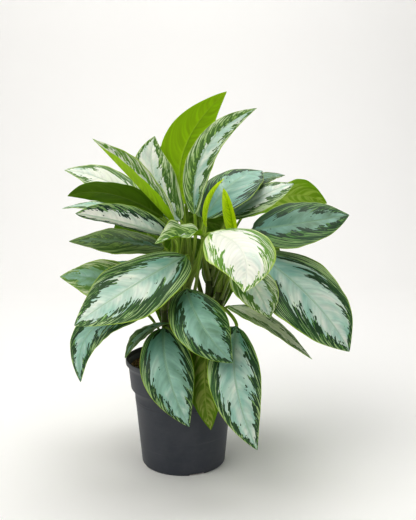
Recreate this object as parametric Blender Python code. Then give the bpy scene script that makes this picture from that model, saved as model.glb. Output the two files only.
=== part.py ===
"""A potted Chinese evergreen: silver-leaved canes standing in soil in a round nursery pot.

Metres, +Z up. The origin is the middle of the pot's flat underside, so the plant stands on
z = 0. The side of the plant with the large heart-shaped leaf faces -Y.
"""
import math
from collections import namedtuple

import bmesh
import bpy
import numpy as np
from mathutils import Matrix, Vector

# Clearance between pieces that touch
SEAT_GAP = 0.0003

# Pot, from its foot to its rim
POT_HEIGHT = 0.160
POT_FOOT_RADIUS = 0.0625
POT_FOOT_CORNER = 0.0025
POT_WALL = 0.0018
STEP_START_HEIGHT = 0.109
STEP_START_RADIUS = 0.0725
STEP_END_HEIGHT = 0.117
STEP_END_RADIUS = 0.0778
LIP_START_HEIGHT = 0.1475
LIP_START_RADIUS = 0.0808
LIP_FULL_HEIGHT = 0.1530
RIM_RADIUS = 0.085
RIM_ROUNDING = 0.0012
POT_SEGMENTS = 48
CREASE_ANGLE = math.radians(40)
WELD_DISTANCE = 1e-6

# Drain slots cut through the corner between the pot's floor and wall
DRAIN_SLOTS = 4
DRAIN_SLOT_FIRST_ANGLE = math.radians(-70)
DRAIN_SLOT_WIDTH = 0.022
DRAIN_SLOT_DEPTH = 0.020
DRAIN_SLOT_HEIGHT = 0.0024

# Soil: its surface is a low crown with soft lumps, given at rings round the middle
SOIL_TOP = 0.1465
SOIL_CROWN = 0.0030
SOIL_LUMP = 0.0010
SOIL_LUMPS_ACROSS = 170
SOIL_LUMPS_BACK = 140
SOIL_LUMPS_SLANTED = 110
SOIL_RINGS = (0.0165, 0.056, 0.071)

# Canes: where the axis of each stem leaves the soil, and its top
CANE_RADIUS = 0.0052
CANE_SIDES = 12
CANE_DEPTH = 0.060

Cane = namedtuple("Cane", "foot top")
CANES = {
    "cane_front": Cane((0.005, -0.036, SOIL_TOP), (0.010, -0.041, 0.262)),
    "cane_left": Cane((-0.022, -0.014, SOIL_TOP), (-0.028, -0.018, 0.262)),
    "cane_right": Cane((0.042, -0.012, SOIL_TOP), (0.054, -0.016, 0.270)),
    "cane_middle": Cane((0.004, 0.006, SOIL_TOP), (0.004, 0.006, 0.292)),
    "cane_back_left": Cane((-0.020, 0.036, SOIL_TOP), (-0.026, 0.042, 0.286)),
    "cane_back_right": Cane((0.032, 0.034, SOIL_TOP), (0.040, 0.040, 0.286)),
}

# Leaves. A stalk leaves its cane at a height and a compass angle (0 is +X, 90 is +Y). The blade's
# midrib runs from its base over a middle point to its tip, and its upper side faces roughly the
# way given. The halves rise from the midrib by the fold, turn down again by the curl towards the
# margin, and wave by a share of the width.
Leaf = namedtuple("Leaf", "cane height angle base middle tip faces width fold curl wave")
LEAVES = {
    "leaf_front_heart": Leaf(
        "cane_front", 0.252, -25, (0.040, -0.060, 0.352), (0.080, -0.125, 0.337),
        (0.081, -0.167, 0.291), (-0.05, -0.5, 0.8), 0.093, 10, 35, 0.02),
    "leaf_front_curled": Leaf(
        "cane_middle", 0.254, -75, (0.026, -0.044, 0.348), (0.001, -0.060, 0.348),
        (-0.034, -0.085, 0.341), (0.0, -0.35, 0.95), 0.050, 30, 0, 0.12),
    "leaf_right_tucked": Leaf(
        "cane_right", 0.250, -30, (0.079, -0.060, 0.304), (0.102, -0.096, 0.280),
        (0.118, -0.118, 0.247), (0.25, -0.75, 0.6), 0.064, 10, 20, 0.02),
    "leaf_right_slim": Leaf(
        "cane_right", 0.190, -50, (0.067, -0.035, 0.244), (0.116, -0.060, 0.229),
        (0.181, -0.075, 0.178), (0.25, -0.15, 1.0), 0.060, 12, 20, 0.02),
    "leaf_right_big": Leaf(
        "cane_right", 0.236, 5, (0.106, -0.025, 0.318), (0.178, -0.075, 0.263),
        (0.228, -0.095, 0.195), (0.4, -0.7, 0.6), 0.127, 8, 18, 0.03),
    "leaf_right_upper": Leaf(
        "cane_right", 0.262, 50, (0.100, 0.000, 0.349), (0.172, -0.015, 0.361),
        (0.237, -0.020, 0.373), (0.0, -0.7, 0.75), 0.086, 10, 20, 0.03),
    "leaf_right_turned": Leaf(
        "cane_back_right", 0.258, 0, (0.097, 0.080, 0.367), (0.170, 0.140, 0.390),
        (0.233, 0.150, 0.376), (0.0, 0.75, 0.65), 0.074, 10, 20, 0.03),
    "leaf_back_small": Leaf(
        "cane_back_right", 0.280, 50, (0.086, 0.080, 0.402), (0.124, 0.125, 0.420),
        (0.163, 0.150, 0.422), (0.0, -0.25, 0.95), 0.048, 10, 20, 0.02),
    "leaf_crown_silver": Leaf(
        "cane_back_right", 0.268, -115, (0.033, -0.008, 0.366), (0.073, 0.056, 0.413),
        (0.124, 0.128, 0.430), (-0.35, -0.75, 0.55), 0.091, 8, 20, 0.03),
    "leaf_right_edge": Leaf(
        "cane_back_right", 0.274, -40, (0.067, 0.025, 0.364), (0.120, 0.056, 0.395),
        (0.170, 0.080, 0.412), (0.2, -0.4, 0.9), 0.056, 10, 20, 0.02),
    "leaf_young_spear": Leaf(
        "cane_right", 0.262, -85, (0.075, -0.030, 0.338), (0.069, -0.038, 0.375),
        (0.058, -0.041, 0.412), (-0.3, -0.9, 0.1), 0.027, 50, 0, 0.0),
    "leaf_young_rolled": Leaf(
        "cane_middle", 0.270, -45, (0.034, -0.030, 0.358), (0.040, -0.035, 0.395),
        (0.060, -0.020, 0.425), (-0.6, -0.7, 0.2), 0.014, 50, 0, 0.0),
    "leaf_white_arching": Leaf(
        "cane_middle", 0.286, 10, (0.018, -0.010, 0.373), (0.033, -0.008, 0.463),
        (0.103, -0.040, 0.520), (-0.45, -0.85, 0.2), 0.045, 14, 24, 0.04),
    "leaf_tall": Leaf(
        "cane_middle", 0.284, 100, (0.000, 0.022, 0.384), (0.003, 0.068, 0.470),
        (0.065, 0.068, 0.550), (-0.2, 0.9, 0.2), 0.072, 10, 20, 0.03),
    "leaf_crown_left": Leaf(
        "cane_middle", 0.282, 190, (-0.003, 0.009, 0.362), (-0.042, 0.024, 0.424),
        (-0.042, 0.048, 0.484), (0.1, -0.85, 0.5), 0.065, 10, 20, 0.03),
    "leaf_left_folded": Leaf(
        "cane_left", 0.254, 0, (-0.013, -0.015, 0.362), (-0.066, -0.050, 0.424),
        (-0.114, -0.080, 0.479), (0.7, -0.25, 0.65), 0.056, 44, 0, 0.02),
    "leaf_left_high": Leaf(
        "cane_back_left", 0.276, -100, (-0.050, 0.040, 0.381), (-0.117, 0.050, 0.418),
        (-0.176, 0.040, 0.434), (0.0, -0.6, 0.8), 0.060, 10, 20, 0.03),
    "leaf_left_turned": Leaf(
        "cane_left", 0.240, 60, (-0.028, -0.005, 0.369), (-0.098, -0.020, 0.403),
        (-0.160, -0.025, 0.400), (0.0, 0.6, 0.8), 0.062, 10, 20, 0.03),
    "leaf_left_behind": Leaf(
        "cane_back_left", 0.250, 190, (-0.067, 0.060, 0.356), (-0.128, 0.080, 0.377),
        (-0.190, 0.085, 0.373), (0.0, -0.2, 0.95), 0.050, 10, 20, 0.02),
    "leaf_left_ridged": Leaf(
        "cane_left", 0.236, -72, (-0.013, -0.025, 0.341), (-0.083, -0.063, 0.368),
        (-0.139, -0.083, 0.381), (0.0, -0.86, -0.5), 0.050, -34, 8, 0.02),
    "leaf_left_dark": Leaf(
        "cane_left", 0.225, 130, (-0.027, 0.000, 0.323), (-0.093, -0.011, 0.335),
        (-0.163, -0.010, 0.334), (0.0, -0.45, 0.88), 0.062, 10, 20, 0.03),
    "leaf_left_blunt": Leaf(
        "cane_back_left", 0.226, -150, (-0.061, 0.010, 0.266), (-0.123, 0.030, 0.272),
        (-0.186, 0.030, 0.275), (0.0, -0.6, 0.75), 0.078, 10, 20, 0.03),
    "leaf_left_big": Leaf(
        "cane_front", 0.238, -165, (0.006, -0.050, 0.319), (-0.067, -0.105, 0.284),
        (-0.136, -0.130, 0.240), (-0.3, -0.75, 0.6), 0.101, 8, 25, 0.03),
    "leaf_left_drooping": Leaf(
        "cane_left", 0.195, -150, (-0.057, -0.031, 0.234), (-0.126, -0.063, 0.215),
        (-0.139, -0.080, 0.147), (-0.5, -0.6, 0.6), 0.063, 10, 20, 0.02),
    "leaf_over_rim": Leaf(
        "cane_left", 0.165, -70, (-0.016, -0.050, 0.223), (-0.052, -0.070, 0.214),
        (-0.076, -0.090, 0.184), (-0.1, 0.1, 1.0), 0.044, 15, 20, 0.02),
    "leaf_front_hanging": Leaf(
        "cane_front", 0.172, -130, (-0.024, -0.070, 0.221), (-0.016, -0.115, 0.170),
        (0.012, -0.120, 0.098), (0.0, -0.85, 0.5), 0.072, 8, 25, 0.03),
    "leaf_front_middle": Leaf(
        "cane_front", 0.205, -85, (0.008, -0.060, 0.274), (0.029, -0.125, 0.239),
        (0.069, -0.150, 0.196), (0.0, -0.7, 0.7), 0.076, 8, 25, 0.03),
    "leaf_front_shaded": Leaf(
        "cane_front", 0.172, -40, (0.038, -0.068, 0.215), (0.033, -0.106, 0.152),
        (0.041, -0.106, 0.088), (0.3, 0.9, 0.3), 0.050, 10, 20, 0.03),
    "leaf_right_hanging": Leaf(
        "cane_right", 0.236, -95, (0.076, -0.080, 0.226), (0.073, -0.143, 0.166),
        (0.102, -0.142, 0.075), (0.1, -0.85, 0.5), 0.071, 8, 25, 0.03),
    "leaf_back_tall": Leaf(
        "cane_back_left", 0.284, 50, (-0.010, 0.060, 0.386), (-0.020, 0.115, 0.446),
        (-0.030, 0.170, 0.474), (0.0, -0.6, 0.8), 0.070, 10, 20, 0.03),
    "leaf_back_left_high": Leaf(
        "cane_back_left", 0.274, 130, (-0.050, 0.070, 0.376), (-0.084, 0.115, 0.408),
        (-0.118, 0.160, 0.408), (0.1, -0.3, 0.95), 0.058, 10, 20, 0.03),
    "leaf_back_high": Leaf(
        "cane_back_right", 0.274, 110, (0.026, 0.085, 0.372), (0.034, 0.150, 0.390),
        (0.036, 0.210, 0.368), (0.0, 0.0, 1.0), 0.066, 10, 20, 0.03),
    "leaf_back_left_spread": Leaf(
        "cane_back_left", 0.254, 110, (-0.020, 0.090, 0.352), (-0.070, 0.128, 0.338),
        (-0.125, 0.160, 0.290), (0.3, 0.75, 0.5), 0.084, 10, 25, 0.03),
    "leaf_back_middle": Leaf(
        "cane_back_right", 0.222, 135, (0.004, 0.096, 0.326), (0.000, 0.128, 0.302),
        (-0.008, 0.146, 0.228), (0.0, 0.85, 0.4), 0.086, 8, 25, 0.03),
    "leaf_back_right_spread": Leaf(
        "cane_back_right", 0.240, 52, (0.076, 0.086, 0.312), (0.118, 0.140, 0.310),
        (0.152, 0.180, 0.262), (0.3, 0.4, 0.85), 0.080, 8, 25, 0.03),
    "leaf_back_left_drooping": Leaf(
        "cane_back_left", 0.214, 150, (-0.068, 0.070, 0.262), (-0.115, 0.110, 0.250),
        (-0.146, 0.138, 0.188), (-0.4, 0.4, 0.8), 0.066, 10, 25, 0.03),
    "leaf_back_hanging": Leaf(
        "cane_back_left", 0.184, 75, (-0.020, 0.085, 0.246), (-0.026, 0.135, 0.226),
        (-0.034, 0.152, 0.152), (0.0, 0.7, 0.6), 0.068, 10, 25, 0.03),
    "leaf_back_right_hanging": Leaf(
        "cane_back_right", 0.198, 92, (0.050, 0.078, 0.288), (0.058, 0.118, 0.264),
        (0.058, 0.138, 0.196), (0.0, 0.75, 0.6), 0.062, 10, 25, 0.03),
    "leaf_side_right": Leaf(
        "cane_back_right", 0.236, -10, (0.098, 0.040, 0.284), (0.150, 0.070, 0.272),
        (0.196, 0.085, 0.215), (0.5, 0.1, 0.85), 0.072, 8, 25, 0.03),
    "leaf_side_left": Leaf(
        "cane_back_left", 0.238, 160, (-0.078, 0.070, 0.282), (-0.125, 0.102, 0.281),
        (-0.163, 0.122, 0.240), (-0.4, 0.2, 0.9), 0.066, 8, 25, 0.03),
    "leaf_back_crossing": Leaf(
        "cane_back_left", 0.240, 40, (-0.006, 0.100, 0.346), (0.034, 0.112, 0.350),
        (0.080, 0.116, 0.332), (0.0, 0.85, 0.5), 0.052, 10, 20, 0.03),
    "leaf_back_upright": Leaf(
        "cane_middle", 0.272, 60, (0.004, 0.052, 0.384), (0.003, 0.091, 0.442),
        (0.012, 0.124, 0.492), (0.0, -0.8, 0.6), 0.046, 10, 20, 0.03),
}

# The two leaves that are still rolled up
YOUNG_LEAVES = ("leaf_young_spear", "leaf_young_rolled")

# Blades: thickness at the midrib and at the margin, with a keel under the midrib
BLADE_THICKNESS = 0.0010
MARGIN_THICKNESS = 0.0007
KEEL_DEPTH = 0.0012
TIP_HALF_WIDTH = 0.0007

# The outline is a sine swell along the blade; its power makes the base round and the tip drawn out
WIDEST_SHIFT = 0.85
BASE_ROUNDNESS = 0.55
TIP_TAPER = 0.88

# Waves along each margin, and how far the two margins are out of step (radians)
WAVES_ALONG_BLADE = 1.75
WAVE_STEP = 1.3

# The fold and the curl fade out towards the tip with this power of the way along
TIP_FLATTENING = 8

# Sections along the blade, points across it, and the strips of a section whose quads split along
# their other diagonal, so that both sides match
BLADE_STATIONS = (0.035, 0.10, 0.19, 0.30, 0.42, 0.54, 0.66, 0.78, 0.88, 0.95, 1.0)
ACROSS_STATIONS = (-1.0, -0.5, 0.0, 0.5, 1.0)
SPLIT_THE_OTHER_WAY = (2, 3, 7, 8)

# Stalks: a flat sheath against the cane that becomes a round stalk, leaning out as it leaves
STALK_STATIONS = (0.0, 0.22, 0.48, 0.76, 1.0)
STALK_HALF_WIDTHS = (0.0048, 0.0042, 0.0033, 0.0026, 0.0022)
STALK_HALF_DEPTHS = (0.0014, 0.0018, 0.0021, 0.0020, 0.0018)
STALK_LEAN = math.radians(18)
STALK_RISE = 0.9
STALK_ARCH = 0.7

# Materials: linear red, green, blue, and roughness
POT_BLACK = (0.030, 0.031, 0.035)
SOIL_BROWN = (0.065, 0.038, 0.020)
CANE_GREEN = (0.200, 0.260, 0.060)
LEAF_SILVER = (0.420, 0.560, 0.440)
YOUNG_LIME = (0.380, 0.540, 0.060)
POT_ROUGHNESS = 0.45
SOIL_ROUGHNESS = 0.95
CANE_ROUGHNESS = 0.5
LEAF_ROUGHNESS = 0.4


def clear_scene():
    """Remove every object that the file opened with."""
    for thing in list(bpy.data.objects):
        bpy.data.objects.remove(thing, do_unlink=True)


def material(name, colour, roughness):
    """A plain finish with one colour and one roughness."""
    finish = bpy.data.materials.new(name)
    finish.use_nodes = True
    shader = finish.node_tree.nodes["Principled BSDF"]
    shader.inputs["Base Color"].default_value = (*colour, 1.0)
    shader.inputs["Roughness"].default_value = roughness
    shader.inputs["Metallic"].default_value = 0.0
    return finish


def place(name, bm, finish):
    """Put a bmesh into the scene as an object, shaded smooth with sharp creases kept."""
    mesh = bpy.data.meshes.new(name)
    bm.to_mesh(mesh)
    bm.free()
    mesh.shade_smooth()
    mesh.set_sharp_from_angle(angle=CREASE_ANGLE)
    mesh.materials.append(finish)
    piece = bpy.data.objects.new(name, mesh)
    bpy.context.collection.objects.link(piece)
    return piece


def cutter(name, bm):
    """A hidden solid that only cuts another."""
    guide = place(name, bm, None)
    guide.hide_render = True
    guide.display_type = "WIRE"
    return guide


def cut(piece, guides):
    """Cut the guides out of a piece, one after the other."""
    for guide in guides:
        step = piece.modifiers.new(guide.name, "BOOLEAN")
        step.operation = "DIFFERENCE"
        step.object = guide


def turned(profile):
    """Turn an outline of (radius, height) points round the Z axis into a closed solid."""
    bm = bmesh.new()
    corners = [bm.verts.new((radius, 0.0, height)) for radius, height in profile]
    edges = [bm.edges.new(pair) for pair in zip(corners, corners[1:])]
    bmesh.ops.spin(bm, geom=corners + edges, cent=(0, 0, 0), axis=(0, 0, 1),
                   angle=2 * math.pi, steps=POT_SEGMENTS, use_merge=True)
    bmesh.ops.remove_doubles(bm, verts=bm.verts, dist=WELD_DISTANCE)
    bmesh.ops.recalc_face_normals(bm, faces=bm.faces)
    return bm


def outer_wall():
    """The pot's outside, from the foot's corner up to the rim."""
    return [
        (POT_FOOT_RADIUS - POT_FOOT_CORNER, 0.0),
        (POT_FOOT_RADIUS, POT_FOOT_CORNER),
        (STEP_START_RADIUS, STEP_START_HEIGHT),
        (STEP_END_RADIUS, STEP_END_HEIGHT),
        (LIP_START_RADIUS, LIP_START_HEIGHT),
        (RIM_RADIUS, LIP_FULL_HEIGHT),
        (RIM_RADIUS, POT_HEIGHT - RIM_ROUNDING),
        (RIM_RADIUS - RIM_ROUNDING, POT_HEIGHT),
    ]


def inner_wall(clearance=0.0):
    """The pot's inside, from the floor up, drawn in by a clearance for what fills it."""
    inset = POT_WALL + clearance
    return [
        (POT_FOOT_RADIUS - inset, inset),
        (STEP_START_RADIUS - inset, STEP_START_HEIGHT),
        (STEP_END_RADIUS - inset, STEP_END_HEIGHT),
        (LIP_START_RADIUS - inset, LIP_START_HEIGHT),
    ]


def drain_slot(number):
    """A box that cuts one drain slot: it straddles the corner between the floor and the wall."""
    angle = DRAIN_SLOT_FIRST_ANGLE + number * 2 * math.pi / DRAIN_SLOTS
    size = Matrix.Diagonal((DRAIN_SLOT_DEPTH, DRAIN_SLOT_WIDTH, 2 * DRAIN_SLOT_HEIGHT, 1.0))
    bm = bmesh.new()
    bmesh.ops.create_cube(bm, size=1.0, matrix=Matrix.Translation((POT_FOOT_RADIUS, 0, 0)) @ size)
    slot = cutter(f"drain_slot_{number + 1}", bm)
    slot.rotation_euler = (0.0, 0.0, angle)
    return slot


def make_pot(finish):
    """The nursery pot: a thin moulded shell with a stepped collar, a flared lip and drain slots."""
    lip_inner = RIM_RADIUS - POT_WALL
    lip = [(lip_inner, POT_HEIGHT - RIM_ROUNDING), (lip_inner, LIP_FULL_HEIGHT)]
    profile = [(0.0, 0.0)] + outer_wall() + lip + inner_wall()[::-1] + [(0.0, POT_WALL)]
    pot = place("pot", turned(profile), finish)
    cut(pot, [drain_slot(number) for number in range(DRAIN_SLOTS)])


def soil_height(x, y):
    """Height of the soil's surface over a point; the crown and the lumps fade at the wall."""
    reach = min(math.hypot(x, y) / SOIL_RINGS[-1], 1.0)
    lumps = math.sin(SOIL_LUMPS_ACROSS * x) * math.cos(SOIL_LUMPS_BACK * y)
    lumps += math.sin(SOIL_LUMPS_SLANTED * (x + y))
    return SOIL_TOP + (1 - reach ** 2) * (SOIL_CROWN + SOIL_LUMP * lumps)


def axis_point(cane, height):
    """The point on a cane's axis at a height."""
    foot, top = Vector(cane.foot), Vector(cane.top)
    return foot.lerp(top, (height - foot.z) / (top.z - foot.z))


def rod(cane, radius, start_height, end_height):
    """A round rod along a cane's axis between two heights."""
    start, end = axis_point(cane, start_height), axis_point(cane, end_height)
    along = end - start
    bm = bmesh.new()
    bmesh.ops.create_cone(bm, cap_ends=True, segments=CANE_SIDES, radius1=radius, radius2=radius,
                          depth=along.length)
    turn = Vector((0, 0, 1)).rotation_difference(along).to_matrix()
    bmesh.ops.rotate(bm, verts=bm.verts, cent=(0, 0, 0), matrix=turn)
    bmesh.ops.translate(bm, verts=bm.verts, vec=(start + end) / 2)
    return bm


def make_soil(finish):
    """The soil that fills the pot, with a plain hole for each cane."""
    wall = inner_wall(SEAT_GAP)
    wall[-1] = (wall[-1][0], SOIL_TOP)
    surface = [(radius, SOIL_TOP) for radius in SOIL_RINGS[::-1]] + [(0.0, SOIL_TOP)]
    bm = turned([(0.0, wall[0][1])] + wall + surface)
    reach = (SOIL_RINGS[-1] + wall[-1][0]) / 2
    for vert in bm.verts:
        on_surface = vert.co.z > STEP_END_HEIGHT and math.hypot(vert.co.x, vert.co.y) < reach
        if on_surface:
            vert.co.z = soil_height(vert.co.x, vert.co.y)
    bmesh.ops.triangulate(bm, faces=bm.faces)
    soil = place("soil", bm, finish)
    floor = SOIL_TOP - CANE_DEPTH - SEAT_GAP
    holes = [cutter(f"{name}_hole", rod(cane, CANE_RADIUS + SEAT_GAP, floor, cane.top[2]))
             for name, cane in CANES.items()]
    cut(soil, holes)


def make_cane(name, cane, finish):
    """One stem, from its foot in the soil to its growing tip."""
    place(name, rod(cane, CANE_RADIUS, SOIL_TOP - CANE_DEPTH, cane.top[2]), finish)


def unit(vectors):
    """Vectors brought to length one."""
    return vectors / np.linalg.norm(vectors, axis=-1, keepdims=True)


def midrib(leaf, along):
    """Points on a blade's midrib and its direction there, 0 at the base and 1 at the tip."""
    base, middle, tip = np.array(leaf.base), np.array(leaf.middle), np.array(leaf.tip)
    bend = 2 * middle - (base + tip) / 2
    t = np.asarray(along, dtype=float)[:, None]
    points = (1 - t) ** 2 * base + 2 * t * (1 - t) * bend + t ** 2 * tip
    return points, unit((1 - t) * (bend - base) + t * (tip - bend))


def stalk(leaf, along):
    """Points on a stalk and its direction there, 0 at the cane and 1 at the blade."""
    angle = math.radians(leaf.angle)
    outward = np.array((math.cos(angle), math.sin(angle), 0.0))
    up = np.array((0.0, 0.0, 1.0))
    seat = CANE_RADIUS + SEAT_GAP + STALK_HALF_DEPTHS[0]
    start = np.array(axis_point(CANES[leaf.cane], leaf.height)) + seat * outward
    (end,), (end_direction,) = midrib(leaf, [0.0])
    reach = np.linalg.norm(end - start)
    leaving = STALK_RISE * reach * (math.cos(STALK_LEAN) * up + math.sin(STALK_LEAN) * outward)
    arriving = STALK_ARCH * reach * end_direction
    t = np.asarray(along, dtype=float)[:, None]
    points = ((2 * t ** 3 - 3 * t ** 2 + 1) * start + (t ** 3 - 2 * t ** 2 + t) * leaving
              + (3 * t ** 2 - 2 * t ** 3) * end + (t ** 3 - t ** 2) * arriving)
    direction = unit((6 * t ** 2 - 6 * t) * start + (3 * t ** 2 - 4 * t + 1) * leaving
                     + (6 * t - 6 * t ** 2) * end + (3 * t ** 2 - 2 * t) * arriving)
    return points, direction


def stalk_frames(leaf, along, directions):
    """Sideways and upper-side vectors of a stalk: flat on the cane, then eased into the blade's."""
    angle = math.radians(leaf.angle)
    inward = -np.array((math.cos(angle), math.sin(angle), 0.0))
    carried = [frame_of(directions[0], inward)[0]]
    for direction in directions[1:]:
        last = carried[-1]
        carried.append(unit(last - np.dot(last, direction) * direction))
    wanted = frame_of(directions[-1], np.array(leaf.faces))[0]
    sine = np.dot(np.cross(carried[-1], wanted), directions[-1])
    twist = math.atan2(sine, np.dot(carried[-1], wanted))
    frames = []
    for t, direction, sideways in zip(along, directions, carried):
        upper = np.cross(sideways, direction)
        eased = twist * t * t * (3 - 2 * t)
        turned_side = math.cos(eased) * sideways - math.sin(eased) * upper
        frames.append((turned_side, np.cross(turned_side, direction)))
    return frames


def frame_of(direction, facing):
    """Sideways and upper-side vectors of a section, from its direction and rough facing."""
    sideways = unit(np.cross(direction, facing))
    return sideways, np.cross(sideways, direction)


def half_width(leaf, along):
    """Half the blade's width: widest before the middle, round at the base, drawn out at the tip."""
    swell = np.sin(np.pi * along ** WIDEST_SHIFT)
    power = BASE_ROUNDNESS + (TIP_TAPER - BASE_ROUNDNESS) * along ** 2 * (3 - 2 * along)
    return max(leaf.width / 2 * max(swell, 0.0) ** power, TIP_HALF_WIDTH)


def stalk_ring(centre, sideways, upper, wide, deep):
    """A stalk's section: ten points round an ellipse, left to right over the top and back."""
    points = len(ACROSS_STATIONS)
    angles = [math.pi * (1 - (step + 0.5) / points) for step in range(points)]
    top = [centre + wide * math.cos(a) * sideways + deep * math.sin(a) * upper for a in angles]
    bottom = [centre + wide * math.cos(a) * sideways - deep * math.sin(a) * upper for a in angles]
    return top + bottom[::-1]


def blade_ring(leaf, along, centre, sideways, upper):
    """A blade's section: five points on the upper side, left to right, and their twins below."""
    half = half_width(leaf, along)
    flattening = 1 - along ** TIP_FLATTENING
    fold, curl = math.radians(leaf.fold) * flattening, math.radians(leaf.curl) * flattening
    top, bottom = [], []
    for across in ACROSS_STATIONS:
        reach, hand = abs(across), math.copysign(1.0, across)
        chord = half * reach * np.sinc(curl * reach / (2 * np.pi))
        out = chord * math.cos(fold - curl * reach / 2) * hand
        phase = 2 * np.pi * WAVES_ALONG_BLADE * along + WAVE_STEP * hand
        ripple = leaf.wave * leaf.width * math.sin(phase) * reach ** 2 * math.sin(np.pi * along)
        lift = chord * math.sin(fold - curl * reach / 2) + ripple
        lean = (fold - curl * reach) * reach ** 0.5
        normal = math.cos(lean) * upper - hand * math.sin(lean) * sideways
        skin = (BLADE_THICKNESS + (MARGIN_THICKNESS - BLADE_THICKNESS) * reach) / 2
        keel = KEEL_DEPTH * (1 - along) if across == 0 else 0.0
        point = centre + out * sideways + lift * upper
        top.append(point + skin * normal)
        bottom.append(point - (skin + keel) * normal)
    return top + bottom[::-1]


def leaf_rings(leaf):
    """All sections of a leaf, from the foot of its stalk to the tip of its blade."""
    points, directions = stalk(leaf, STALK_STATIONS)
    frames = stalk_frames(leaf, STALK_STATIONS, directions)
    rings = [stalk_ring(centre, *frame, wide, deep) for centre, frame, wide, deep
             in zip(points, frames, STALK_HALF_WIDTHS, STALK_HALF_DEPTHS)]
    for along, centre, direction in zip(BLADE_STATIONS, *midrib(leaf, BLADE_STATIONS)):
        rings.append(blade_ring(leaf, along, centre, *frame_of(direction, np.array(leaf.faces))))
    return rings


def make_leaf(name, leaf, finish):
    """One leaf, stalk and blade in one, split into triangles alike on its two sides."""
    bm = bmesh.new()
    rings = [[bm.verts.new(point) for point in ring] for ring in leaf_rings(leaf)]
    count = len(rings[0])
    for near, far in zip(rings, rings[1:]):
        for i in range(count):
            j = (i + 1) % count
            if i in SPLIT_THE_OTHER_WAY:
                corners = (near[i], near[j], far[i]), (near[j], far[j], far[i])
            else:
                corners = (near[i], far[j], far[i]), (near[i], near[j], far[j])
            for triangle in corners:
                bm.faces.new(triangle)
    for ring in (rings[0], rings[-1]):
        for i in range(len(ACROSS_STATIONS) - 1):
            below = count - 1 - i
            bm.faces.new((ring[i], ring[i + 1], ring[below - 1]))
            bm.faces.new((ring[i], ring[below - 1], ring[below]))
    bmesh.ops.recalc_face_normals(bm, faces=bm.faces)
    place(name, bm, finish)


def main():
    """Build the pot, the soil, the canes and the leaves."""
    clear_scene()
    make_pot(material("pot_plastic", POT_BLACK, POT_ROUGHNESS))
    make_soil(material("soil", SOIL_BROWN, SOIL_ROUGHNESS))
    cane_skin = material("cane_skin", CANE_GREEN, CANE_ROUGHNESS)
    for name, cane in CANES.items():
        make_cane(name, cane, cane_skin)
    leaf_skin = material("leaf_blade", LEAF_SILVER, LEAF_ROUGHNESS)
    young_skin = material("young_leaf", YOUNG_LIME, LEAF_ROUGHNESS)
    for name, leaf in LEAVES.items():
        make_leaf(name, leaf, young_skin if name in YOUNG_LEAVES else leaf_skin)


main()
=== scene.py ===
"""A potted Chinese evergreen: silver-leaved canes standing in peat in a round nursery pot.

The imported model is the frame. The pot, the canes and every leaf are replaced by finer pieces
of the same form; the soil keeps its solid under a scatter of peat crumbs. Metres, +Z up, the
origin in the middle of the pot's flat underside.
"""
import math
from collections import namedtuple
from functools import partial

import bmesh
import bpy
import numpy as np
from bpy.props import FloatProperty, FloatVectorProperty, IntProperty, PointerProperty
from mathutils import Matrix, Vector


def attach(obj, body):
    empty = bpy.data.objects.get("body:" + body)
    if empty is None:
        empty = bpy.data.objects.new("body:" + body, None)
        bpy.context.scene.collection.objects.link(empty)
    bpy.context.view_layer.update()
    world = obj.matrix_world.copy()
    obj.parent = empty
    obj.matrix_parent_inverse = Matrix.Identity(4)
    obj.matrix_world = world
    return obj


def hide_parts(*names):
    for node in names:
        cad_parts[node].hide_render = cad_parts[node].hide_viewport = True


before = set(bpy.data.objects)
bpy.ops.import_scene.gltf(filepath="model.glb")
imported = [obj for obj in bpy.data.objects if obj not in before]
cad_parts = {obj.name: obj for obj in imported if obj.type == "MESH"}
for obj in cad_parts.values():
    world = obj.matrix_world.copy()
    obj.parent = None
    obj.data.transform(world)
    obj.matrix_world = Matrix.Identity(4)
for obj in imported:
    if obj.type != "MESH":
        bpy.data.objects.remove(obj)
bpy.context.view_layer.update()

bl_info = {
    "name": "Potted Chinese Evergreen",
    "version": (1, 0, 0),
    "blender": (4, 5, 0),
    "location": "3D View > Sidebar > Evergreen",
    "description": "Builds a silver-leaved evergreen in its nursery pot around a packed model",
    "category": "Add Mesh",
}

MM = 0.001


def colour(hex_code):
    """Turn an sRGB hex colour into linear red, green and blue."""
    parts = [int(hex_code[i:i + 2], 16) / 255 for i in (1, 3, 5)]
    return tuple(c / 12.92 if c <= 0.04045 else ((c + 0.055) / 1.055) ** 2.4 for c in parts)


# The plant

# Canes: how deep they stand in the soil, how far up their skin is corky, and the gap at a seat
SOIL_TOP = 0.1465
CANE_RADIUS = 0.0052
CANE_DEPTH = 0.060
CORKY_HEIGHT = 0.060
SEAT_GAP = 0.0003

# Where the axis of each cane leaves the soil, and its top
Cane = namedtuple("Cane", "foot top")
CANES = {
    "front": Cane((0.005, -0.036, SOIL_TOP), (0.010, -0.041, 0.262)),
    "left": Cane((-0.022, -0.014, SOIL_TOP), (-0.028, -0.018, 0.262)),
    "right": Cane((0.042, -0.012, SOIL_TOP), (0.054, -0.016, 0.270)),
    "middle": Cane((0.004, 0.006, SOIL_TOP), (0.004, 0.006, 0.292)),
    "back_left": Cane((-0.020, 0.036, SOIL_TOP), (-0.026, 0.042, 0.286)),
    "back_right": Cane((0.032, 0.034, SOIL_TOP), (0.040, 0.040, 0.286)),
}

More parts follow.
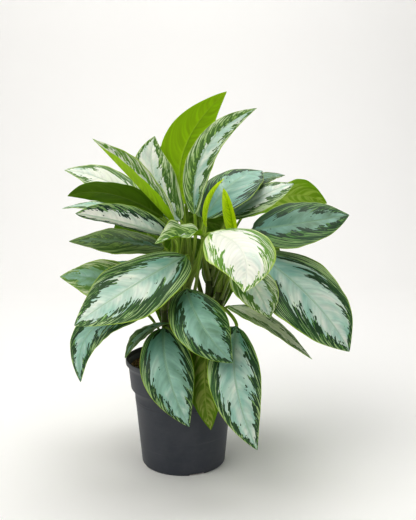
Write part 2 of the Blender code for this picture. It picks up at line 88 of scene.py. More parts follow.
# Leaves, in millimetres. A stalk leaves its cane at a height and a compass angle (0 is +X, 90 is
# +Y). The blade's midrib runs from its base over a middle point to its tip, and its upper side
# faces roughly the way given. The halves rise from the midrib by the fold, turn down again by the
# curl towards the margin, both in degrees, and wave by a share of the width. The look is: share
# of each half that is green margin, paleness of the middle, share of lime in the green, how far
# the pattern shows on the underside, and how much wider the margin is on the right-hand half,
# looking along the leaf from above.
# Paleness below zero is partly a duller silver of the leaf's own and partly painted shade on leaves
# that lie in shadow.
Leaf = namedtuple("Leaf", "cane height angle base middle tip faces width fold curl wave look")
LEAVES_IN_MM = (
    ("front_heart", "front", 252, -25, (40, -60, 352), (80, -125, 337), (81, -167, 291),
     (-0.05, -0.5, 0.8), 93, 10, 35, 0.02, (0.38, 1.15, 1, 0.3, 0)),
    ("front_curled", "middle", 254, -75, (26, -44, 348), (1, -60, 348), (-34, -85, 341),
     (0, -0.35, 0.95), 50, 30, 0, 0.12, (0.95, 0.6, 0.6, 0.3, 0)),
    ("right_tucked", "right", 250, -30, (79, -60, 304), (102, -96, 280), (118, -118, 247),
     (0.25, -0.75, 0.6), 64, 10, 20, 0.02, (0.52, 0.55, 0.6, 0.3, 0)),
    ("right_slim", "right", 190, -50, (67, -35, 244), (116, -60, 229), (181, -75, 178),
     (0.25, -0.15, 1), 60, 12, 20, 0.02, (0.5, 1.1, 0.6, 0.6, 0)),
    ("right_big", "right", 236, 5, (106, -25, 318), (178, -75, 263), (228, -95, 195),
     (0.4, -0.7, 0.6), 127, 8, 18, 0.03, (0.46, 0.33, 0.12, 0.2, 0.06)),
    ("right_upper", "right", 262, 50, (100, 0, 349), (172, -15, 361), (237, -20, 373),
     (0, -0.7, 0.75), 86, 10, 20, 0.03, (0.58, -0.6, 0.1, 0.2, 0.06)),
    ("right_turned", "back_right", 258, 0, (97, 80, 367), (170, 140, 390), (233, 150, 376),
     (0, 0.75, 0.65), 74, 10, 20, 0.03, (0.34, 0.9, 0.5, 0.6, 0)),
    ("back_small", "back_right", 280, 50, (86, 80, 402), (124, 125, 420), (163, 150, 422),
     (0, -0.25, 0.95), 48, 10, 20, 0.02, (0.45, -0.4, 0.25, 0.3, 0)),
    ("crown_silver", "back_right", 268, -115, (33, -8, 366), (73, 56, 413), (124, 128, 430),
     (-0.35, -0.75, 0.55), 91, 8, 20, 0.03, (0.42, 0, 0.05, 0.2, -0.2)),
    ("right_edge", "back_right", 274, -40, (67, 25, 364), (120, 56, 395), (170, 80, 412),
     (0.2, -0.4, 0.9), 56, 10, 20, 0.02, (0.45, 0.55, 0.35, 0.2, 0)),
    ("young_spear", "right", 262, -85, (75, -30, 338), (69, -38, 375), (58, -41, 412),
     (-0.3, -0.9, 0.1), 27, 50, 0, 0, (0.5, 0.6, 1, 0, 0)),
    ("young_rolled", "middle", 270, -45, (34, -30, 358), (40, -35, 395), (60, -20, 425),
     (-0.6, -0.7, 0.2), 14, 50, 0, 0, (0.5, 0.6, 0.6, 0, 0)),
    ("white_arching", "middle", 286, 10, (18, -10, 373), (33, -8, 463), (103, -40, 520),
     (-0.45, -0.85, 0.2), 45, 14, 24, 0.04, (0.64, 0.45, 0.45, 0.1, -0.3)),
    ("tall", "middle", 284, 100, (0, 22, 384), (3, 68, 470), (65, 68, 550),
     (-0.2, 0.9, 0.2), 72, 10, 20, 0.03, (0.34, 0.8, 1, 0, 0)),
    ("crown_left", "middle", 282, 190, (-3, 9, 362), (-42, 24, 424), (-42, 48, 484),
     (0.1, -0.85, 0.5), 65, 10, 20, 0.03, (0.46, 0.8, 0.55, 0.1, 0.15)),
    ("left_folded", "left", 254, 0, (-13, -15, 362), (-66, -50, 424), (-114, -80, 479),
     (0.7, -0.25, 0.65), 56, 44, 0, 0.02, (0.46, 1, 1, 0.1, 0)),
    ("left_high", "back_left", 276, -100, (-50, 40, 381), (-117, 50, 418), (-176, 40, 434),
     (0, -0.6, 0.8), 60, 10, 20, 0.03, (0.45, 0.95, 0.6, 0.1, 0)),
    ("left_turned", "left", 240, 60, (-28, -5, 369), (-98, -20, 403), (-160, -25, 400),
     (0, 0.6, 0.8), 62, 10, 20, 0.03, (0.34, -0.2, 0.2, 0.1, 0)),
    ("left_behind", "back_left", 250, 190, (-67, 60, 356), (-128, 80, 377), (-190, 85, 373),
     (0, -0.2, 0.95), 50, 10, 20, 0.02, (0.45, 0.3, 0.25, 0.3, 0)),
    ("left_ridged", "left", 236, -72, (-13, -25, 341), (-83, -63, 368), (-139, -83, 381),
     (0, -0.86, -0.5), 50, -34, 8, 0.02, (0.42, 0.8, 0.05, 0.2, 0)),
    ("left_dark", "left", 225, 130, (-27, 0, 323), (-93, -11, 335), (-163, -10, 334),
     (0, -0.45, 0.88), 62, 10, 20, 0.03, (0.8, -1, 0.5, 0.3, 0)),
    ("left_blunt", "back_left", 226, -150, (-61, 10, 266), (-123, 30, 272), (-186, 30, 275),
     (0, -0.6, 0.75), 78, 10, 20, 0.03, (0.46, -0.35, 0.85, 0.4, 0)),
    ("left_big", "front", 238, -165, (6, -50, 319), (-67, -105, 284), (-136, -130, 240),
     (-0.3, -0.75, 0.6), 101, 8, 25, 0.03, (0.5, 0.42, 0.18, 0.2, 0)),
    ("left_drooping", "left", 195, -150, (-57, -31, 234), (-126, -63, 215), (-139, -80, 147),
     (-0.5, -0.6, 0.6), 63, 10, 20, 0.02, (0.46, -0.15, 0.08, 0.2, 0)),
    ("over_rim", "left", 165, -70, (-16, -50, 223), (-52, -70, 214), (-76, -90, 184),
     (-0.1, 0.1, 1), 44, 15, 20, 0.02, (0.7, -0.4, 0.3, 0.4, 0)),
    ("front_hanging", "front", 172, -130, (-24, -70, 221), (-16, -115, 170), (12, -120, 98),
     (0, -0.85, 0.5), 72, 8, 25, 0.03, (0.36, -0.1, 0.1, 0.2, 0)),
    ("front_middle", "front", 205, -85, (8, -60, 274), (29, -125, 239), (69, -150, 196),
     (0, -0.7, 0.7), 76, 8, 25, 0.03, (0.42, -0.25, 0.12, 0.2, 0)),
    ("front_shaded", "front", 172, -40, (38, -68, 215), (33, -106, 152), (41, -106, 88),
     (0.3, 0.9, 0.3), 50, 10, 20, 0.03, (0.34, -0.45, 0.3, 1, 0)),
    ("right_hanging", "right", 236, -95, (76, -80, 226), (73, -143, 166), (102, -142, 75),
     (0.1, -0.85, 0.5), 71, 8, 25, 0.03, (0.38, 0.18, 0.12, 0.2, 0)),
    ("back_tall", "back_left", 284, 50, (-10, 60, 386), (-20, 115, 446), (-30, 170, 474),
     (0, -0.6, 0.8), 70, 10, 20, 0.03, (0.44, 0.5, 0.3, 0.2, 0)),
    ("back_left_high", "back_left", 274, 130, (-50, 70, 376), (-84, 115, 408), (-118, 160, 408),
     (0.1, -0.3, 0.95), 58, 10, 20, 0.03, (0.44, 0.4, 0.25, 0.2, 0)),
    ("back_high", "back_right", 274, 110, (26, 85, 372), (34, 150, 390), (36, 210, 368),
     (0, 0, 1), 66, 10, 20, 0.03, (0.42, 0.4, 0.2, 0.2, 0)),
    ("back_left_spread", "back_left", 254, 110, (-20, 90, 352), (-70, 128, 338), (-125, 160, 290),
     (0.3, 0.75, 0.5), 84, 10, 25, 0.03, (0.42, 0.1, 0.15, 0.2, 0)),
    ("back_middle", "back_right", 222, 135, (4, 96, 326), (0, 128, 302), (-8, 146, 228),
     (0, 0.85, 0.4), 86, 8, 25, 0.03, (0.4, 0.1, 0.15, 0.2, 0)),
    ("back_right_spread", "back_right", 240, 52, (76, 86, 312), (118, 140, 310), (152, 180, 262),
     (0.3, 0.4, 0.85), 80, 8, 25, 0.03, (0.42, 0, 0.15, 0.2, 0)),
    ("back_left_drooping", "back_left", 214, 150, (-68, 70, 262), (-115, 110, 250),
     (-146, 138, 188), (-0.4, 0.4, 0.8), 66, 10, 25, 0.03, (0.42, -0.2, 0.12, 0.2, 0)),
    ("back_hanging", "back_left", 184, 75, (-20, 85, 246), (-26, 135, 226), (-34, 152, 152),
     (0, 0.7, 0.6), 68, 10, 25, 0.03, (0.4, -0.3, 0.12, 0.2, 0)),
    ("back_right_hanging", "back_right", 198, 92, (50, 78, 288), (58, 118, 264), (58, 138, 196),
     (0, 0.75, 0.6), 62, 10, 25, 0.03, (0.44, -0.3, 0.12, 0.2, 0)),
    ("side_right", "back_right", 236, -10, (98, 40, 284), (150, 70, 272), (196, 85, 215),
     (0.5, 0.1, 0.85), 72, 8, 25, 0.03, (0.42, 0.1, 0.15, 0.2, 0)),
    ("side_left", "back_left", 238, 160, (-78, 70, 282), (-125, 102, 281), (-163, 122, 240),
     (-0.4, 0.2, 0.9), 66, 8, 25, 0.03, (0.44, 0, 0.15, 0.2, 0)),
    ("back_crossing", "back_left", 240, 40, (-6, 100, 346), (34, 112, 350), (80, 116, 332),
     (0, 0.85, 0.5), 52, 10, 20, 0.03, (0.44, 0, 0.2, 0.3, 0)),
    ("back_upright", "middle", 272, 60, (4, 52, 384), (3, 91, 442), (12, 124, 492),
     (0, -0.8, 0.6), 46, 10, 20, 0.03, (0.46, 0.6, 0.35, 0.2, 0)),
)


def in_metres(cane, height, angle, base, middle, tip, faces, width, *shape_and_look):
    """A leaf in metres from its row in millimetres."""
    base, middle, tip = (tuple(part / 1000 for part in point) for point in (base, middle, tip))
    return Leaf(cane, height / 1000, angle, base, middle, tip, faces, width / 1000,
                *shape_and_look)


LEAVES = {name: in_metres(*row) for name, *row in LEAVES_IN_MM}

# The two leaves that are still rolled up
YOUNG_LEAVES = ("young_spear", "young_rolled")

# The outline is a sine swell along the blade; its power makes the base round, the tip drawn out
WIDEST_SHIFT = 0.85
BASE_ROUNDNESS = 0.55
TIP_TAPER = 0.88
TIP_HALF_WIDTH = 0.25 * MM
TIP_FLATTENING = 8

# Waves along each margin, how far the two margins are out of step, and small ripples on top
WAVES_ALONG_BLADE = 1.75
WAVE_STEP = 1.3
RIPPLES_ALONG_BLADE = 6.3
RIPPLE_STEP = 1.7
RIPPLE_HEIGHT = 0.45 * MM

# The quilting rises beside the midrib and fades towards the margin, by shares of the half blade
QUILT_START = 0.2
QUILT_FADES_FROM = 0.3
QUILT_FADING = 0.45

# Half widths of the midrib's ridge and of the strip that its colours are drawn on. Both narrow
# towards the tip, where the groove above the ridge and the keel below it fade as well.
RIDGE_WIDTH = 1.6 * MM
RIDGE_TAPER = 1.15
RIB_WIDTH = 1.5 * MM
RIB_TAPER = 1.25
GROOVE_FADING = 0.7
KEEL_TAPER = 0.8

# Sections along the blade and the stalk, and points across one half of the blade
BLADE_SECTIONS = 72
STALK_SECTIONS = 18
END_CROWDING = 0.7
HALF_ACROSS = (0.0, 0.045, 0.11, 0.21, 0.33, 0.46, 0.59, 0.72, 0.84, 0.94, 1.0)
BLADE_BASE_BLEND = 0.02

# Stalks: a sheath that clasps the cane becomes a round stalk with a channel on its upper side
STALK_LEAN = math.radians(18)
STALK_RISE = 0.9
STALK_ARCH = 0.7
STALK_SEAT = CANE_RADIUS + SEAT_GAP + 1.4 * MM
STALK_TABLE = (0.0, 0.10, 0.22, 0.48, 0.76, 1.0)
STALK_HALF_WIDTHS = np.array((5.8, 5.3, 4.4, 3.3, 2.6, 2.2)) * MM
STALK_HALF_DEPTHS = np.array((1.3, 1.5, 1.8, 2.1, 2.0, 1.8)) * MM
CLASP_RADIUS = CANE_RADIUS + 1.2 * MM
SHEATH_LENGTH = 0.60
SHEATH_THINNING = 0.45
CHANNEL_DEPTH = 0.55
CHANNEL_WIDTH = 0.40

# Lateral veins leave the midrib steeply and swing round towards the tip as they near the margin
VEIN_START = 0.6
VEIN_SWING = 5.0

# The green margin widens at the base and at the tip, by a share of the half blade
BASE_GREEN = 0.45
BASE_GREEN_TO = 0.16
TIP_GREEN = 0.35
TIP_GREEN_FROM = 0.86

# Noise that makes the teeth: millimetres of midrib to a cell, cells to the half blade, height
TEETH = ((15.0, 2.0, 0.75), (6.0, 5.0, 0.60), (2.6, 12.0, 0.30))

# How far apart the patterns of two leaves, and of the two halves of one, lie in the noise
PATTERN_STEP = 3.7
HALVES_APART = 11.3

# Order of the skins on a leaf
UPPER, LOWER, STALK = range(3)


# Nodes and materials

# What a Mix node is told: to mix two colours, or to multiply a colour by another or by a number
PAINTED = {"data_type": "RGBA"}
TINTED = {"data_type": "RGBA", "blend_type": "MULTIPLY"}


def add(tree, kind, inputs=(), **settings):
    """Add a node with its settings. Its inputs are given by name, or in order to the sockets
    in use; each takes a value, a socket or a node, which stands for its first output in use."""
    made = tree.nodes.new(kind if "Node" in kind else f"ShaderNode{kind}")
    for key, value in settings.items():
        setattr(made, key, value)
    if isinstance(inputs, dict):
        filled = [(made.inputs[key], value) for key, value in inputs.items()]
    else:
        filled = list(zip([socket for socket in made.inputs if socket.enabled], inputs))
    for socket, value in filled:
        if isinstance(value, bpy.types.Node):
            value = next(output for output in value.outputs if output.enabled)
        if isinstance(value, bpy.types.NodeSocket):
            tree.links.new(value, socket)
        else:
            socket.default_value = opaque(value) if socket.type == "RGBA" else value
    return made


def opaque(linear):
    """A linear colour with full alpha, as colour sockets want it."""
    return (*linear, 1.0)


def new_material(name):
    """An empty node material, and what adds a node to it."""
    made = bpy.data.materials.new(name)
    made.use_nodes = True
    made.node_tree.nodes.clear()
    return made, partial(add, made.node_tree)


def surface(new, skin, roughness, normal=None, **constants):
    """Close a material with its shader: linked colour, roughness and normal, constants set."""
    inputs = {"Base Color": skin, "Roughness": roughness}
    if normal is not None:
        inputs["Normal"] = normal
    inputs.update({name.replace("_", " "): value for name, value in constants.items()})
    new("OutputMaterial", {"Surface": new("BsdfPrincipled", inputs)})


# Settings

def paint(name, description, hex_code):
    """A colour setting given as an sRGB hex value."""
    return FloatVectorProperty(name=name, description=description, subtype="COLOR", size=3,
                               min=0.0, max=1.0, default=colour(hex_code))


def length(name, description, metres):
    """A length setting in metres."""
    return FloatProperty(name=name, description=description, default=metres, min=0.0,
                         precision=5, subtype="DISTANCE", unit="LENGTH")


def wattage(name, description, watts):
    """A lamp's power in watts, as a setting."""
    return FloatProperty(name=name, description=description, default=watts, min=0.0,
                         subtype="POWER")


class PotSettings(bpy.types.PropertyGroup):
    """Sizes and colours of the nursery pot."""
    height: length("Height", "From the floor to the rim", 0.160)
    rim_radius: length("Rim radius", "Outside radius of the lip", 0.085)
    foot_radius: length("Foot radius", "Outside radius just above the floor", 0.0625)
    wall: length("Wall", "Thickness of the moulded wall", 0.0018)
    segments: IntProperty(name="Segments", description="Sides round the pot", default=128, min=12)
    plastic: paint("Plastic", "Colour of the moulded plastic", "#3f434b")
    worn: paint("Worn plastic", "Colour where dust and scuffs lie", "#63656a")


class SoilSettings(bpy.types.PropertyGroup):
    """Sizes and colours of the peat."""
    crumb: length("Crumb size", "Half the width of a middling crumb", 0.0016)
    spacing: length("Crumb spacing", "Least distance between two crumbs", 0.0020)
    seed: IntProperty(name="Seed", description="Picks the scatter of the crumbs", default=7)
    peat: paint("Peat", "Dark, moist peat", "#7d5b3f")
    bark: paint("Bark", "Lighter fibre and bark", "#bd9570")
    moss: paint("Moss", "Green film on the older crumbs", "#5f6a2e")
    grit: paint("Grit", "White grains of grit", "#cfc7b8")


class CaneSettings(bpy.types.PropertyGroup):
    """Sizes and colours of the canes."""
    radius: length("Radius", "Radius between two leaf scars", CANE_RADIUS)
    scar_spacing: length("Scar spacing", "Distance between two leaf scars", 0.014)
    scar_height: length("Scar height", "How far a scar stands proud", 0.0005)
    # Both cane colours are darkened as painted shade of the inside of the clump
    green: paint("Green skin", "Skin of the upper cane", "#4d6120")
    corky: paint("Corky skin", "Old skin at the foot and on the scars", "#5d5138")


class LeafSettings(bpy.types.PropertyGroup):
    """Sizes and colours of the leaves."""
    thickness: length("Blade thickness", "Thickness beside the midrib", 0.0008)
    margin: length("Margin thickness", "Thickness at the margin", 0.00035)
    keel: length("Keel", "How far the midrib stands out under the blade", 0.0012)
    groove: length("Groove", "How far the midrib is sunk on the upper side", 0.0005)
    quilting: length("Quilting", "Height of the swells between lateral veins", 0.00045)
    vein_spacing: length("Vein spacing", "Distance between two main lateral veins", 0.0115)
    silver: paint("Silver", "Middle of a grown leaf", "#9fc6b6")
    cream: paint("Cream", "Middle of a pale young leaf", "#eaece0")
    teal: paint("Teal", "Middle of a grown leaf near its base", "#5f9a90")
    # Painted shade: the dull silver also stands in for the shade on leaves that lie in shadow,
    # besides their own duller colour
    shadow: paint("Dull silver", "Middle of a leaf that grew in the shade", "#72937c")
    dark: paint("Dark green", "Dashes along the veins", "#14382b")
    green: paint("Green", "Margin of a grown leaf", "#3b8438")
    pale_line: paint("Pale line", "Fine lines between the streaks", "#a5be7f")
    lime: paint("Lime", "Margin and edge of a young leaf", "#b0cc3e")
    streak: paint("Streak", "Darker streaks of a young leaf", "#6b9838")
    underside: paint("Underside", "Underside of a grown leaf", "#679600")
    underside_young: paint("Young underside", "Underside of a young leaf", "#9cc00a")
    underside_pale: paint("Pale underside", "Ghost of the silver on the underside", "#b3c463")
    stalk: paint("Stalk", "Skin of the stalks", "#7c9e1f")
    stalk_pale: paint("Pale stalk", "Streaks and sheath of the stalks", "#c1d268")
    young: paint("Young leaf", "A leaf that is still rolled", "#cce40e")


class StageSettings(bpy.types.PropertyGroup):
    """The floor, the light and the camera."""
    camera_place: FloatVectorProperty(name="Camera", description="Where the camera stands",
                                      subtype="XYZ", unit="LENGTH", size=3,
                                      default=(0.037, -1.040, 0.470))
    camera_pitch: FloatProperty(name="Pitch", description="How far the camera looks down",
                                subtype="ANGLE", default=math.radians(9.0))
    lens: FloatProperty(name="Lens", description="Focal length in millimetres", default=50.0,
                        unit="CAMERA")
    key_power: wattage("Key light", "Power of the large soft lamp", 44.0)
    top_power: wattage("Top light", "Power of the lamp overhead", 12.0)
    wall_power: wattage("Wall light", "Power of the backdrop's lamp", 20.0)
    fill_power: wattage("Fill light", "Power of the weak lamp at the right", 15.0)
    sky: FloatProperty(name="Sky", description="Strength of the light from all round",
                       default=0.25)
    contrast: FloatProperty(name="Contrast", description="Below one, middle tones are darker",
                            default=0.8, min=0.1, max=2.0)
    paper: paint("Backdrop", "Colour of the floor and the wall behind", "#f8f7f5")


# Pot

# Its outline in millimetres, as (radius, height): the wall ends at a step with fine rings below
# it, and the collar above the step bends outwards into the lip
FOOT_EDGE = 2.5
RING_HEIGHTS = (96.0, 99.5)
RING_SECTION = ((-0.8, 0.0), (-0.35, 0.22), (0.35, 0.22), (0.8, 0.0))
STEP_START = (72.5, 109.0)
STEP_END = (77.8, 117.0)
LIP_BEND = ((80.7, 146.2), (80.95, 147.7), (84.3, 152.2))

# The lip is lighter from the first height on, and most from the second on: partly rubbed wear,
# partly painted highlight
RUBBED_AND_LIT_LIP = (0.143, 0.156)

# Drain slots are cut by boxes; the first stands at this angle and the others follow it round
SLOTS = 4
SLOT_SIZE = (20 * MM, 22 * MM, 4.8 * MM, 1.0)
FIRST_SLOT_ANGLE = -70


def moulded_plastic(settings):
    """Polypropylene, injection-moulded with a fine matte grain: near black, with a soft sheen,
    and greyer where dust and scuffs lie on it."""
    made, new = new_material("injection_moulded_polypropylene")
    place = new("TexCoord").outputs["Object"]
    # Cloudy dust, a few centimetres across, and scuffs drawn out round the pot
    dust = new("TexNoise", {"Vector": place, "Scale": 24.0, "Detail": 5.0, "Roughness": 0.65})
    drawn = new("VectorMath", (place, (14.0, 14.0, 520.0)), operation="MULTIPLY")
    scuff = new("TexNoise", {"Vector": drawn, "Scale": 1.0, "Detail": 3.0, "Roughness": 0.7})
    scuffed = new("MapRange", (scuff, 0.60, 0.74))
    dusty = new("MapRange", (dust, 0.42, 0.78, 0.0, 0.45))
    both = new("Math", (scuffed, 0.35, dusty), operation="MULTIPLY_ADD", use_clamp=True)
    # The lip is lighter: partly rubbed where hands take hold of the pot, partly a painted highlight
    # of the light on the rim
    height = new("SeparateXYZ", (place,)).outputs["Z"]
    rubbed_and_lit = new("MapRange", (height, *RUBBED_AND_LIT_LIP, 0.0, 0.35))
    worn = new("Math", (both, rubbed_and_lit), operation="ADD", use_clamp=True)
    skin = new("Mix", (worn, settings.plastic, settings.worn), **PAINTED)
    # The mould's grain is about 0.3 mm; it is drawn at 0.8 mm so that it shows
    grain = new("TexNoise", {"Vector": place, "Scale": 1250.0, "Detail": 2.0})
    roughness = new("MapRange", (dust, 0.3, 0.75, 0.36, 0.56))
    bump = new("Bump", {"Strength": 0.25, "Distance": 0.0002, "Height": grain})
    surface(new, skin, roughness, bump, IOR=1.49)
    return made


def pot_profile(settings):
    """The pot's outline as (radius, height) points: up the outside, over the lip, down inside."""
    foot, rim, wall, height = (size / MM for size in (
        settings.foot_radius, settings.rim_radius, settings.wall, settings.height))
    outside = [(0.0, 0.0), (foot - 4.0, 0.0), (foot - 2.5, 0.0), (foot - 1.2, 0.35),
               (foot - 0.3, 1.2), (foot, FOOT_EDGE)]
    # The wall rises at a steady slope to the step, with two fine raised rings below it
    (narrow, low), (wide, high) = STEP_START, STEP_END
    slope = (narrow - foot) / (low - FOOT_EDGE)
    for ring in RING_HEIGHTS:
        for offset, proud in RING_SECTION:
            at = ring + offset
            outside.append((foot + slope * (at - FOOT_EDGE) + proud, at))
    # Round the step, up the collar and out to the lip
    outside += [(narrow - 0.15, low - 1.4), (narrow + 0.25, low + 0.3), (wide - 0.9, high - 1.4),
                (wide - 0.2, high - 0.4), (wide + 0.05, high + 1.2), *LIP_BEND]
    lip = [(rim - 0.15, 152.9), (rim, 153.6), (rim, height - 1.5), (rim - 0.2, height - 0.55),
           (rim - 0.65, height - 0.1), (rim - 1.1, height), (rim - 1.5, height - 0.25),
           (rim - wall, height - 1.0)]
    inside = [(rim - wall, 153.2), (80.8 - wall, 147.6), (wide - wall, high),
              (narrow - wall, low), (foot - wall, 4.0), (foot - wall - 1.2, wall), (0.0, wall)]
    return [(radius * MM, level * MM) for radius, level in outside + lip + inside]


def new_tree(name, result, inputs):
    """An empty geometry node tree with named inputs, what adds a node to it, and its inputs."""
    tree = bpy.data.node_groups.new(name, "GeometryNodeTree")
    for title, kind in inputs.items():
        tree.interface.new_socket(name=title, in_out="INPUT", socket_type=f"NodeSocket{kind}")
    tree.interface.new_socket(name=result, in_out="OUTPUT", socket_type="NodeSocketGeometry")
    new = partial(add, tree)
    return tree, new, new("NodeGroupInput").outputs


def end_tree(new, shaped, given):
    """End a geometry node tree: make its result real and give it its material."""
    real = new("GeometryNodeRealizeInstances", {"Geometry": shaped})
    dressed = new("GeometryNodeSetMaterial", {"Geometry": real, "Material": given["Material"]})
    new("NodeGroupOutput", (dressed,))


def turning_tree():
    """Geometry nodes that turn a profile round the Z axis and close its seam and poles."""
    tree, new, given = new_tree("turned_profile", "Turned", {
        "Profile": "Geometry", "Segments": "Int", "Material": "Material"})
    size = new("GeometryNodeAttributeDomainSize", {0: given["Profile"]})
    columns = new("Math", (given["Segments"], 1.0), operation="ADD")
    grid = new("GeometryNodeMeshGrid", {"Vertices X": size.outputs["Point Count"],
                                        "Vertices Y": columns})
    index = new("GeometryNodeInputIndex")
    row = new("Math", (new("Math", (index, columns), operation="DIVIDE"),), operation="FLOOR")
    column = new("Math", (index, columns), operation="MODULO")
    turn = new("Math", (column, given["Segments"]), operation="DIVIDE")
    angle = new("Math", (turn, math.tau), operation="MULTIPLY")
    sample = new("GeometryNodeSampleIndex", {
        "Geometry": given["Profile"], "Value": new("GeometryNodeInputPosition"),
        "Index": row}, data_type="FLOAT_VECTOR")
    parts = new("SeparateXYZ", (sample,)).outputs
    across = [new("Math", (parts["X"], new("Math", (angle,), operation=wave)),
                  operation="MULTIPLY") for wave in ("COSINE", "SINE")]
    place = new("CombineXYZ", (*across, parts["Z"]))
    moved = new("GeometryNodeSetPosition", {"Geometry": grid, "Position": place})
    end_tree(new, new("GeometryNodeMergeByDistance", {"Geometry": moved, "Distance": 1e-5}),
             given)
    return tree


def link(name, data):
    """Put a mesh, a lamp or a camera into the scene as an object at the origin."""
    thing = bpy.data.objects.new(name, data)
    bpy.context.scene.collection.objects.link(thing)
    return thing


def mesh_from(name, bm):
    """A named mesh made of what an edit mesh holds; the edit mesh is freed."""
    mesh = bpy.data.meshes.new(name)
    bm.to_mesh(mesh)
    bm.free()
    return mesh


def grow(thing, tree, **inputs):
    """Run a geometry node tree on an object and keep its result as the object's plain mesh."""
    modifier = thing.modifiers.new(tree.name, "NODES")
    modifier.node_group = tree
    sockets = {item.name: item.identifier for item in tree.interface.items_tree
               if item.item_type == "SOCKET" and item.in_out == "INPUT"}
    for name, value in inputs.items():
        modifier[sockets[name.replace("_", " ").capitalize()]] = value
    keep_result(thing)


def keep_result(thing):
    """Replace an object's mesh by what its modifiers make of it, and remove them."""
    shaped = thing.evaluated_get(bpy.context.evaluated_depsgraph_get())
    mesh = bpy.data.meshes.new_from_object(shaped)
    thing.modifiers.clear()
    thing.data = mesh
    mesh.name = thing.name


def face_outwards(mesh, crease):
    """Point every face outwards, shade smooth and keep creases over so many degrees sharp."""
    bm = bmesh.new()
    bm.from_mesh(mesh)
    bmesh.ops.recalc_face_normals(bm, faces=bm.faces)
    bm.to_mesh(mesh)
    bm.free()
    mesh.shade_smooth()
    mesh.set_sharp_from_angle(angle=math.radians(crease))


def drain_slot(number, settings):
    """A box over the corner of the pot's foot, which cuts one of its four drain slots."""
    bm = bmesh.new()
    turn = Matrix.Rotation(math.radians(FIRST_SLOT_ANGLE + 360 / SLOTS * number), 4, "Z")
    place = turn @ Matrix.Translation((settings.foot_radius, 0, 0)) @ Matrix.Diagonal(SLOT_SIZE)
    bmesh.ops.create_cube(bm, size=1.0, matrix=place)
    return link(f"drain_slot_{number}", mesh_from("drain_slot", bm))


class EVERGREEN_OT_pot(bpy.types.Operator):
    """Turn the nursery pot from its profile and cut its drain slots"""
    bl_idname = "evergreen.pot"
    bl_label = "Pot"

    def execute(self, context):
        settings = context.scene.evergreen_pot
        profile = pot_profile(settings)
        mesh = bpy.data.meshes.new("nursery_pot")
        mesh.from_pydata([(radius, 0.0, height) for radius, height in profile],
                         [(i, i + 1) for i in range(len(profile) - 1)], [])
        pot = link("nursery_pot", mesh)
        grow(pot, turning_tree(), segments=settings.segments,
             material=moulded_plastic(settings))
        face_outwards(pot.data, crease=35)
        slots = [drain_slot(number, settings) for number in range(SLOTS)]
        for slot in slots:
            step = pot.modifiers.new(slot.name, "BOOLEAN")
            step.operation = "DIFFERENCE"
            step.object = slot
        keep_result(pot)
        for slot in slots:
            bpy.data.objects.remove(slot)
        face_outwards(pot.data, crease=35)
        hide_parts("pot")
        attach(pot, "root")
        return {"FINISHED"}


# Soil

# The soil is flat at the wall and has a crown and lumps further in. The crown is in millimetres,
# and the lumps are waves: so many radians to the metre across, to the back and slantwise.
SOIL_REACH = 0.071
SOIL_CROWN = 3.0
SOIL_LUMPS = (170, 140, 110)

# The bed that the crumbs are strewn on, and the crumbs: least and greatest shape, and roughness
BED_RADIUS = 0.0765
BED_STEPS = 60
BED_LIFT = 0.2 * MM
CRUMBS_PER_SQUARE_METRE = 260000.0
CRUMB_SHAPES = ((0.5, 0.4, 0.35), (1.6, 1.0, 0.9))
CRUMB_ROUGHNESS = 0.0034


def peat_mix(name, settings, crumbs):
    """Peat, bark and grit, mixed loose and moist: dark crumbs with lighter fibre, a green film
    on some and a few white grains. Crumbs take their kind from the value stored on them."""
    made, new = new_material(name)
    place = new("TexCoord").outputs["Object"]
    mottle = new("TexNoise", {"Vector": place, "Scale": 320.0, "Detail": 4.0, "Roughness": 0.7})
    if crumbs:
        kind = new("Attribute", attribute_name="kind").outputs["Fac"]
    else:
        kind = new("TexNoise", {"Vector": place, "Scale": 150.0})
    ramp = new("ValToRGB", (kind,))
    stops = ((0.0, settings.peat), (0.45, settings.peat), (0.62, settings.bark),
             (0.80, settings.bark), (0.84, settings.moss), (0.955, settings.moss),
             (0.965, settings.grit))
    elements = ramp.color_ramp.elements
    for position, tint in stops[1:-1]:
        elements.new(position).color = opaque(tint)
    elements[0].color = opaque(stops[0][1])
    elements[-1].position, elements[-1].color = stops[-1][0], opaque(stops[-1][1])
    shade = new("MapRange", (mottle, 0.25, 0.75, 0.45, 1.25))
    skin = new("Mix", (1.0, ramp, shade), **TINTED)
    roughness = new("MapRange", (mottle, 0.2, 0.8, 0.78, 1.0))
    bump = new("Bump", {"Strength": 0.8, "Distance": 0.0008, "Height": mottle})
    surface(new, skin, roughness, bump, IOR=1.4)
    return made


